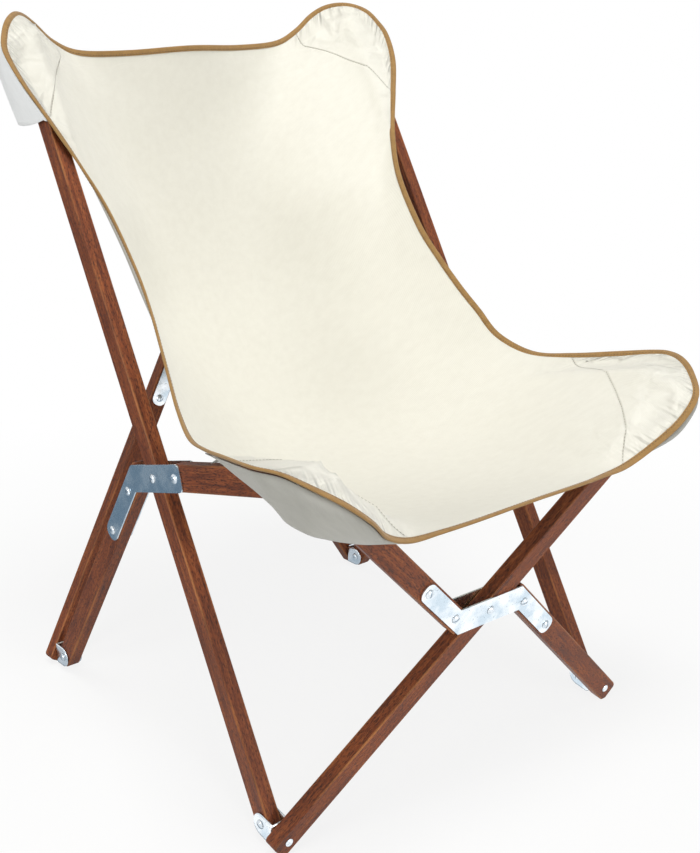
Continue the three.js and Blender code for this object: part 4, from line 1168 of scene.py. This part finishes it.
@dataclass
class Metalwork:
    """Bolts, hub brackets, plates and their heads."""

    zinc: bpy.types.Material
    bright: bpy.types.Material
    board_half: float = 0.010
    sheet: float = 0.002
    gap: float = 0.0004
    seat: float = 0.0003
    hub_reach: float = 0.032
    bracket_half: float = 0.0145
    bend: float = 0.0022
    round_lead: float = 0.001  # the round end starts this far before the screw
    tail_height: float = 0.0014
    rolled: float = 0.00035
    stud_radius: float = 0.0064
    stud_height: float = 0.0033
    slot_turn: float = 1.1  # from one bolt's slot to the next one's, in radians
    head_sharp_deg: float = 38.0
    sheet_sharp_deg: float = 50.0
    web_gaps: dict[str, float] = field(default_factory=lambda: {
        "left_rear_foot": 0.0005, "right_rear_ear": 0.0024, "left_rear_ear": 0.0024})

    @property
    def head_seat(self) -> float:
        """From the middle of a board to the underside of a head that lies on its sheet."""
        return self.board_half + self.gap + self.sheet + self.seat

    def bolt(self, node: str, axis: Array, half: float, number: int) -> bpy.types.Object:
        """Bolt with a slotted head at each end.

        Args:
            node: CAD node that it stands for.
            axis: Direction of the bolt.
            half: From its middle to the underside of a head.
            number: Turns its slots, so that they don't all line up.

        Returns:
            The piece.
        """
        centre = centre_of(node)
        mesh = Shank(length=2 * half).mesh().moved(facing(axis), centre)
        for sign in (1, -1):
            turned = facing(sign * axis, self.slot_turn * number + sign)
            mesh = mesh.joined(SlottedHead().mesh().moved(turned, centre + sign * axis * half))
        piece = mesh.object(f"{node}_slotted", self.bright, self.head_sharp_deg)
        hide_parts(node)
        return piece

    def shell(self, web_gap: float) -> Mesh:
        """Bracket's sheet as a strip bent to a U.

        The strip runs from one leg's tip over the web to the other leg's tip. Its half height is the
        bracket's, and beyond the screw it follows a circle round it. The strip's middle line has two
        straight legs, a straight web and a quarter circle at each bend.
        """
        leg = self.board_half + self.gap + self.sheet / 2
        web = self.board_half + web_gap + self.sheet / 2
        r = self.bend
        round_from = self.hub_reach - self.round_lead
        round_end = round_from + self.bracket_half * np.cos(np.linspace(0.05, 0.5 * math.pi, 14))
        leg_z = np.concatenate([round_end, np.linspace(round_from, web + r, 6)[1:]])
        quarter = np.linspace(0, 0.5 * math.pi, 6)[1:]
        half_path = np.vstack([np.stack([np.full(len(leg_z), leg), leg_z], 1),
                               np.stack([leg - r + r * np.cos(quarter), web + r - r * np.sin(quarter)], 1)])
        path = np.vstack([half_path, (half_path * [-1, 1])[::-1]])
        beyond = np.clip(path[:, 1] - round_from, 0, self.bracket_half)
        height = np.sqrt(np.maximum(self.bracket_half**2 - beyond**2, 1e-8))
        v = np.linspace(-1, 1, 9)
        points = np.stack(np.broadcast_arrays(path[:, :1], height[:, None] * v, path[:, 1:]), -1)
        return Mesh(points.reshape(-1, 3), grid_quads(len(path), len(v)))

    def bracket(self, name: str, normal: Array, toward: float) -> list[bpy.types.Object]:
        """Bracket, rivet and screw of one hub.

        Args:
            name: Hub's name, such as right_front_foot.
            normal: Normal of the cross board's plane.
            toward: Sign of the way from the cross board to the side board.

        Returns:
            The bracket's sheet, its rivet and its screw.
        """
        along = toward * normal
        height = np.cross(ACROSS, normal)
        height = height if height[2] > 0 else -height
        across = np.cross(height, along)
        axes = np.stack([across, height, along], 1)
        rivet_at = centre_of(f"{name}_screw") - along * self.hub_reach
        web_gap = self.web_gaps.get(name, self.seat)
        shell = self.shell(web_gap).moved(axes, rivet_at)
        sheet = shell.object(f"{name}_bent_sheet", self.zinc, self.sheet_sharp_deg)
        thicken(sheet, self.sheet)
        web_face = self.board_half + web_gap + self.sheet
        tail = Dome(height=self.tail_height).mesh().moved(facing(along), rivet_at + along * web_face)
        head = Dome().mesh().moved(facing(-along), rivet_at - along * (self.board_half + self.seat))
        shank_half = (web_face + self.board_half) / 2
        shank_at = rivet_at + along * (web_face - shank_half)
        shank = Shank(length=2 * shank_half).mesh().moved(facing(along), shank_at)
        rivet = tail.joined(head).joined(shank) if name not in self.web_gaps else tail
        rivet_piece = rivet.object(f"{name}_rivet_domes", self.bright, self.sheet_sharp_deg)
        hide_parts(f"{name}_bracket")
        for piece in (sheet, rivet_piece):
            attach(piece, name)
        screw = self.bolt(f"{name}_screw", ACROSS, self.head_seat, len(name))
        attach(screw, name)
        return [sheet, rivet_piece, screw]

    def rounded_edges(self, node: str) -> None:
        """Weld a plate's triangles and round its edges a little, by modifiers on the CAD object."""
        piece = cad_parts[node]
        weld = piece.modifiers.new("weld", "WELD")
        weld.merge_threshold = 0.00001
        bevel = piece.modifiers.new("rolled_edge", "BEVEL")
        bevel.width = self.rolled
        bevel.segments = 2
        bevel.limit_method = "ANGLE"
        bevel.angle_limit = math.radians(self.sheet_sharp_deg)
        dress(piece, self.zinc)

    def build(self) -> None:
        """Build all metalwork and set what it rides on."""
        for side in Side:
            for place, normal, toward in (("front_foot", FRONT_NORMAL, -1), ("front_ear", FRONT_NORMAL, -1),
                                          ("rear_foot", REAR_NORMAL, 1), ("rear_ear", REAR_NORMAL, 1)):
                pieces = self.bracket(f"{side.word}_{place}", normal, toward)
                log.info("hub %s", pieces[0].name)
        for name, axis, count, body in (
                ("front", FRONT_NORMAL, 5, "front_split_board"), ("rear", REAR_NORMAL, 5, "rear_split_board"),
                ("right", ACROSS, 3, "right_rear_leg"), ("left", ACROSS, 3, "left_rear_leg")):
            for number in range(1, count + 1):
                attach(self.bolt(f"{name}_plate_screw_{number}", axis, self.head_seat, number), body)
            for face in ("outer", "inner"):
                self.rounded_edges(f"{name}_plate_{face}")
            log.info("plates and bolts of %s", name)
        self.loose_rivets()
        self.hinge_studs()

    def loose_rivets(self) -> None:
        """Rivets of the hubs whose webs slide: each head stays with its cross board."""
        rear = REAR_NORMAL
        for hub, body in (("left_rear_foot", "rear_long_board"), ("right_rear_ear", "rear_long_board"),
                          ("left_rear_ear", "rear_split_board")):
            at = centre_of(f"{hub}_screw") - rear * self.hub_reach
            head = Dome().mesh().moved(facing(-rear), at - rear * (self.board_half + self.seat))
            shank = Shank(length=2 * self.board_half).mesh().moved(facing(rear), at)
            piece = head.joined(shank).object(f"{hub}_board_rivet", self.bright, self.sheet_sharp_deg)
            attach(piece, body)

    def hinge_studs(self) -> None:
        """Slotted heads over the arm hinges' studs, on both faces of each side's plates."""
        half = self.board_half + self.gap + self.sheet
        for side in Side:
            middle = np.array([side.value * SIDE_X, *ARM_HINGE])
            heads = [SlottedHead(radius=self.stud_radius, height=self.stud_height).mesh().moved(
                facing(sign * ACROSS, 0.6 * sign), middle + sign * ACROSS * half) for sign in (1, -1)]
            pair = heads[0].joined(heads[1])
            piece = pair.object(f"{side.word}_arm_hinge_heads", self.bright, self.head_sharp_deg)
            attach(piece, f"{side.word}_rear_leg")


def dress(piece: bpy.types.Object, material: bpy.types.Material) -> None:
    """Put one material on every slot of a CAD object."""
    for slot in piece.material_slots:
        slot.link = "OBJECT"
        slot.material = material
    if not piece.material_slots:
        piece.data.materials.append(material)


@dataclass
class Boards:
    """The wooden boards, which keep their CAD shape and get wood with the grain along each."""

    wood: Hardwood = field(default_factory=Hardwood)
    pattern_step: float = 3.7  # moves the grain on from board to board
    names: tuple[str, ...] = (
        "front_cross_long", "front_cross_lower", "front_cross_upper", "rear_cross_long", "rear_cross_lower",
        "rear_cross_upper", "right_upright", "right_rear_leg", "right_arm_board", "left_upright",
        "left_rear_leg", "left_arm_board")

    def build(self) -> None:
        """Find each board's own directions from its points and dress it."""
        for number, name in enumerate(self.names):
            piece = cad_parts[name]
            points = np.empty(len(piece.data.vertices) * 3, dtype=np.float32)
            piece.data.vertices.foreach_get("co", points)
            points = points.reshape(-1, 3).astype(float)
            middle = (points.min(0) + points.max(0)) / 2
            thin = self.thickness_axis(name)
            flat = points - points.mean(0)
            flat = flat - np.outer(flat @ thin, thin)
            length = np.linalg.svd(flat, full_matrices=False)[2][0]
            length = unit(length - (length @ thin) * thin)
            axes = np.stack([length, np.cross(thin, length), thin])
            local = (points - middle) @ axes.T
            middle = middle + axes.T @ ((local.min(0) + local.max(0)) / 2)
            half = (local.max(0) - local.min(0)) / 2
            dress(piece, self.wood.material(name, axes, middle, half, self.pattern_step * number))
            log.info("board %s %.0f x %.0f x %.0f mm", name, *(2000 * half))

    @staticmethod
    def thickness_axis(name: str) -> Array:
        """Direction through a board, which is the normal of its scissor's plane."""
        if name.startswith("front"):
            return FRONT_NORMAL
        return REAR_NORMAL if name.startswith("rear") else ACROSS


# Studio


@dataclass(frozen=True)
class Studio:
    """Pale floor, soft lamps and the camera at the photograph's viewing angle."""

    place: tuple[float, float, float] = (-1.11472, -1.321571, 1.03454)
    azimuth_deg: float = -36.379
    elevation_deg: float = 16.754
    focal_px: float = 1306.99
    centre_px: tuple[float, float] = (250.16, 349.13)
    picture_px: tuple[int, int] = (700, 853)
    sensor_mm: float = 36.0
    floor_colour: str = "#E2E2E0"
    floor_white: float = 0.85  # share of plain white that the camera sees near the chair
    floor_half: float = 12.0
    fade_from: float = 0.45
    fade_to: float = 1.3
    # colours of the painted reflection that metal sees in the floor, which glows for glossy rays
    mirrored_front: str = "#FFFFFF"
    mirrored_behind: str = "#72828F"
    # name, place, aim, side and power of each lamp
    lamps: tuple[tuple[str, tuple[float, float, float], tuple[float, float, float], float, float], ...] = (
        ("key_lamp", (-0.4, -0.6, 4.4), (0, 0, 0.5), 1.6, 130),
        ("side_lamp", (-2.8, -0.4, 1.2), (0, 0, 0.2), 1.0, 30),
        ("front_lamp", (0.6, -3.2, 0.7), (0, 0, 0.2), 1.4, 42))

    def camera(self) -> None:
        """Set up the camera: the shift puts its axis on the photograph's own centre point."""
        data = bpy.data.cameras.new("camera")
        width, height = self.picture_px
        data.sensor_fit = "AUTO"
        data.sensor_width = self.sensor_mm
        data.lens = self.focal_px * self.sensor_mm / height
        data.shift_x = (width / 2 - self.centre_px[0]) / height
        data.shift_y = -(height / 2 - self.centre_px[1]) / height
        data.dof.use_dof = False
        piece = bpy.data.objects.new("camera", data)
        azimuth, elevation = math.radians(self.azimuth_deg), math.radians(self.elevation_deg)
        back = Vector((math.sin(azimuth) * math.cos(elevation), -math.cos(azimuth) * math.cos(elevation),
                       math.sin(elevation)))
        piece.rotation_euler = (-back).to_track_quat("-Z", "Y").to_euler()
        piece.location = self.place
        bpy.context.scene.collection.objects.link(piece)
        bpy.context.scene.camera = piece

    def floor(self) -> None:
        """Lay a wide floor that keeps the chair's shadow near it and fades to plain white further off.

        For glossy rays it glows as a painted reflection, white in front of the chair and bluish behind it,
        which the metal shows.
        """
        edge = self.floor_half
        mesh = Mesh(np.array([[-edge, -edge, 0], [edge, -edge, 0], [edge, edge, 0], [-edge, edge, 0]]),
                    [[0, 1, 2, 3]])
        material, shader = new_material("matt_studio_paper", {
            "Base Color": linear(self.floor_colour), "Roughness": 0.95, "Specular IOR Level": 0.1})
        tree = material.node_tree
        path = add_node(tree, "ShaderNodeLightPath").outputs
        place = add_node(tree, "ShaderNodeTexCoord").outputs["Object"]
        reach = add_node(tree, "ShaderNodeVectorMath", {"operation": "LENGTH"}, {0: place}).outputs["Value"]
        far = add_node(tree, "ShaderNodeMapRange", {
            "interpolation_type": "SMOOTHSTEP", "From Min": self.fade_from, "From Max": self.fade_to,
            "To Min": self.floor_white, "To Max": 1.0}, {"Value": reach}).outputs[0]
        seen_far = add_node(tree, "ShaderNodeMath", {"operation": "MULTIPLY"},
                            {0: far, 1: path["Is Camera Ray"]}).outputs[0]
        white = add_node(tree, "ShaderNodeEmission", {"Color": linear("#FFFFFF"), "Strength": 1.0})
        paper = add_node(tree, "ShaderNodeMixShader", None,
                         {0: seen_far, 1: shader.outputs[0], 2: white.outputs[0]})
        depth = add_node(tree, "ShaderNodeSeparateXYZ", None, {0: place}).outputs["Y"]
        away = add_node(tree, "ShaderNodeMapRange", {"From Min": -0.3, "From Max": 0.6},
                        {"Value": depth}).outputs[0]
        seen = add_node(tree, "ShaderNodeValToRGB", {"stops": [
            (0.0, linear(self.mirrored_front)), (1.0, linear(self.mirrored_behind))]},
            {0: away}).outputs["Color"]
        # painted reflection: the floor glows for glossy rays only
        mirrored = add_node(tree, "ShaderNodeEmission", {"Strength": 1.3}, {"Color": seen})
        mix = add_node(tree, "ShaderNodeMixShader", None,
                       {0: path["Is Glossy Ray"], 1: paper.outputs[0], 2: mirrored.outputs[0]})
        output = tree.nodes["Material Output"]
        tree.links.new(mix.outputs[0], output.inputs["Surface"])
        mesh.object("studio_floor", material)

    def world(self) -> None:
        """Even pale surroundings, seen as white by the camera and by metal."""
        world = bpy.data.worlds.new("studio")
        world.use_nodes = True
        tree = world.node_tree
        tree.nodes.clear()
        path = add_node(tree, "ShaderNodeLightPath").outputs
        light = add_node(tree, "ShaderNodeBackground", {"Color": linear("#FFFFFF"), "Strength": 0.27})
        seen = add_node(tree, "ShaderNodeBackground", {"Color": linear("#FFFFFF"), "Strength": 1.0})
        either = add_node(tree, "ShaderNodeMath", {"operation": "MAXIMUM"},
                          {0: path["Is Camera Ray"], 1: path["Is Glossy Ray"]}).outputs[0]
        mix = add_node(tree, "ShaderNodeMixShader", None,
                       {0: either, 1: light.outputs[0], 2: seen.outputs[0]})
        add_node(tree, "ShaderNodeOutputWorld", None, {"Surface": mix.outputs[0]})
        bpy.context.scene.world = world

    def lamp(self, name: str, place: tuple[float, float, float], aim: tuple[float, float, float], size: float,
             watts: float) -> None:
        """Add a square soft lamp.

        Args:
            name: Name of the lamp.
            place: Where it stands.
            aim: Point that it faces.
            size: Side of its square.
            watts: Its power.
        """
        data = bpy.data.lights.new(name, "AREA")
        data.size = size
        data.energy = watts
        piece = bpy.data.objects.new(name, data)
        piece.location = place
        piece.rotation_euler = (Vector(aim) - Vector(place)).to_track_quat("-Z", "Y").to_euler()
        bpy.context.scene.collection.objects.link(piece)

    def build(self) -> None:
        """Set up the whole studio."""
        self.camera()
        self.floor()
        self.world()
        for lamp in self.lamps:
            self.lamp(*lamp)
        bpy.context.scene.view_settings.view_transform = "Standard"


@dataclass
class Cover:
    """Everything sewn: the sling with its tape and seams, and the four pockets.

    The pockets' mouths are shares of the half spacing out and of the way from rear hub to front hub.
    """

    squashed_to: float = 0.353  # share of the width that is left when the frame is folded
    squash_anchor: tuple[float, float, float] = (-SIDE_X, 0.0, 0.4)
    pocket_flat: tuple[float, float] = (0.30, 0.16)
    rear_swell: tuple[float, float, float] = (0.0, 0.086, 0.0)
    front_swell: tuple[float, float, float] = (0.0, -0.020, -0.020)
    rear_mouth_shares: tuple[tuple[float, float, float], ...] = (
        (0.73, -0.092, 0.05), (0.69, -0.099, 0.22), (0.79, -0.09, 0.255), (0.92, -0.068, 0.262),
        (1.02, -0.025, 0.262), (1.055, 0.03, 0.258), (1.062, 0.07, 0.25), (1.06, 0.1, 0.24),
        (1.055, 0.128, 0.226))
    front_mouth_shares: tuple[tuple[float, float, float], ...] = (
        (1.11, 0.83, 1.01), (1.085, 0.9, 1.05), (1.08, 0.96, 1.075), (1.09, 1.0, 1.09), (1.08, 1.055, 1.095),
        (1.02, 1.07, 1.11), (0.93, 1.07, 1.135), (0.8, 1.068, 1.165), (0.67, 1.072, 1.176))

    def dress(self) -> None:
        """Build the sling and pockets, and set what they ride on."""
        shape = SlingShape()
        ends = (Sling.rear_ends, Sling.front_ends)
        canvas = WovenCloth("cotton_canvas_plain_woven", "#E0DED3", "#D4D1C5", 1.6,
                            seams=tuple(shape.seam(*pair) for pair in ends),
                            gathers=tuple(shape.stretch(*pair) for pair in ends)).material()
        # the rear pockets' underside: a lighter copy of the same canvas, painted light
        painted_light_lining = WovenCloth("cotton_canvas_underside", "#EEF0F0", "#E2E4E4", 1.6).material()
        # the front pockets' underside: a darker copy of the same canvas, painted shade where they face down
        # and forward
        painted_shade_lining = WovenCloth("cotton_canvas_underside_soiled", "#AAA9A2", "#96958E", 1.6).material()
        tape = WovenCloth("cotton_tape_twill_woven", "#A6824F", "#7A5D38", 1.3, 9.0, 0.3, 0.2, 32.0)
        seam_thread = Thread("grey_sewing_thread", "#A8A394", "#8A8474")
        sling = Sling(shape, canvas, tape.material(), Thread().material(), seam_thread.material())
        soft = sling.dress()
        pockets = []
        for side in Side:
            for name, cloth, pair, mouth, swell in (
                    ("rear_pocket", painted_light_lining, sling.rear_ends, self.rear_mouth_shares, self.rear_swell),
                    ("front_pocket", painted_shade_lining, sling.front_ends, self.front_mouth_shares, self.front_swell)):
                pockets.append(Pocket(name, cloth, side, sling, *pair, mouth, swell).dress())
        for piece in soft + pockets:
            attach(piece, "right_upright")
            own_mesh(piece)
            log.info("soft piece %s, %d faces", piece.name, len(piece.data.polygons))


def main() -> None:
    """Build the chair's looks and the studio."""
    logging.basicConfig(level=logging.INFO, format="%(name)s: %(message)s")
    Studio().build()
    Boards().build()
    turned = ZincPlate("zinc_plated_steel_turned", "#DDE3E8", "#C2CCD4", 6.0, 0.6, 1.5, (0.10, 0.22))
    Metalwork(ZincPlate().material(), turned.material()).build()
    Cover().dress()


if __name__ == "__main__":
    main()
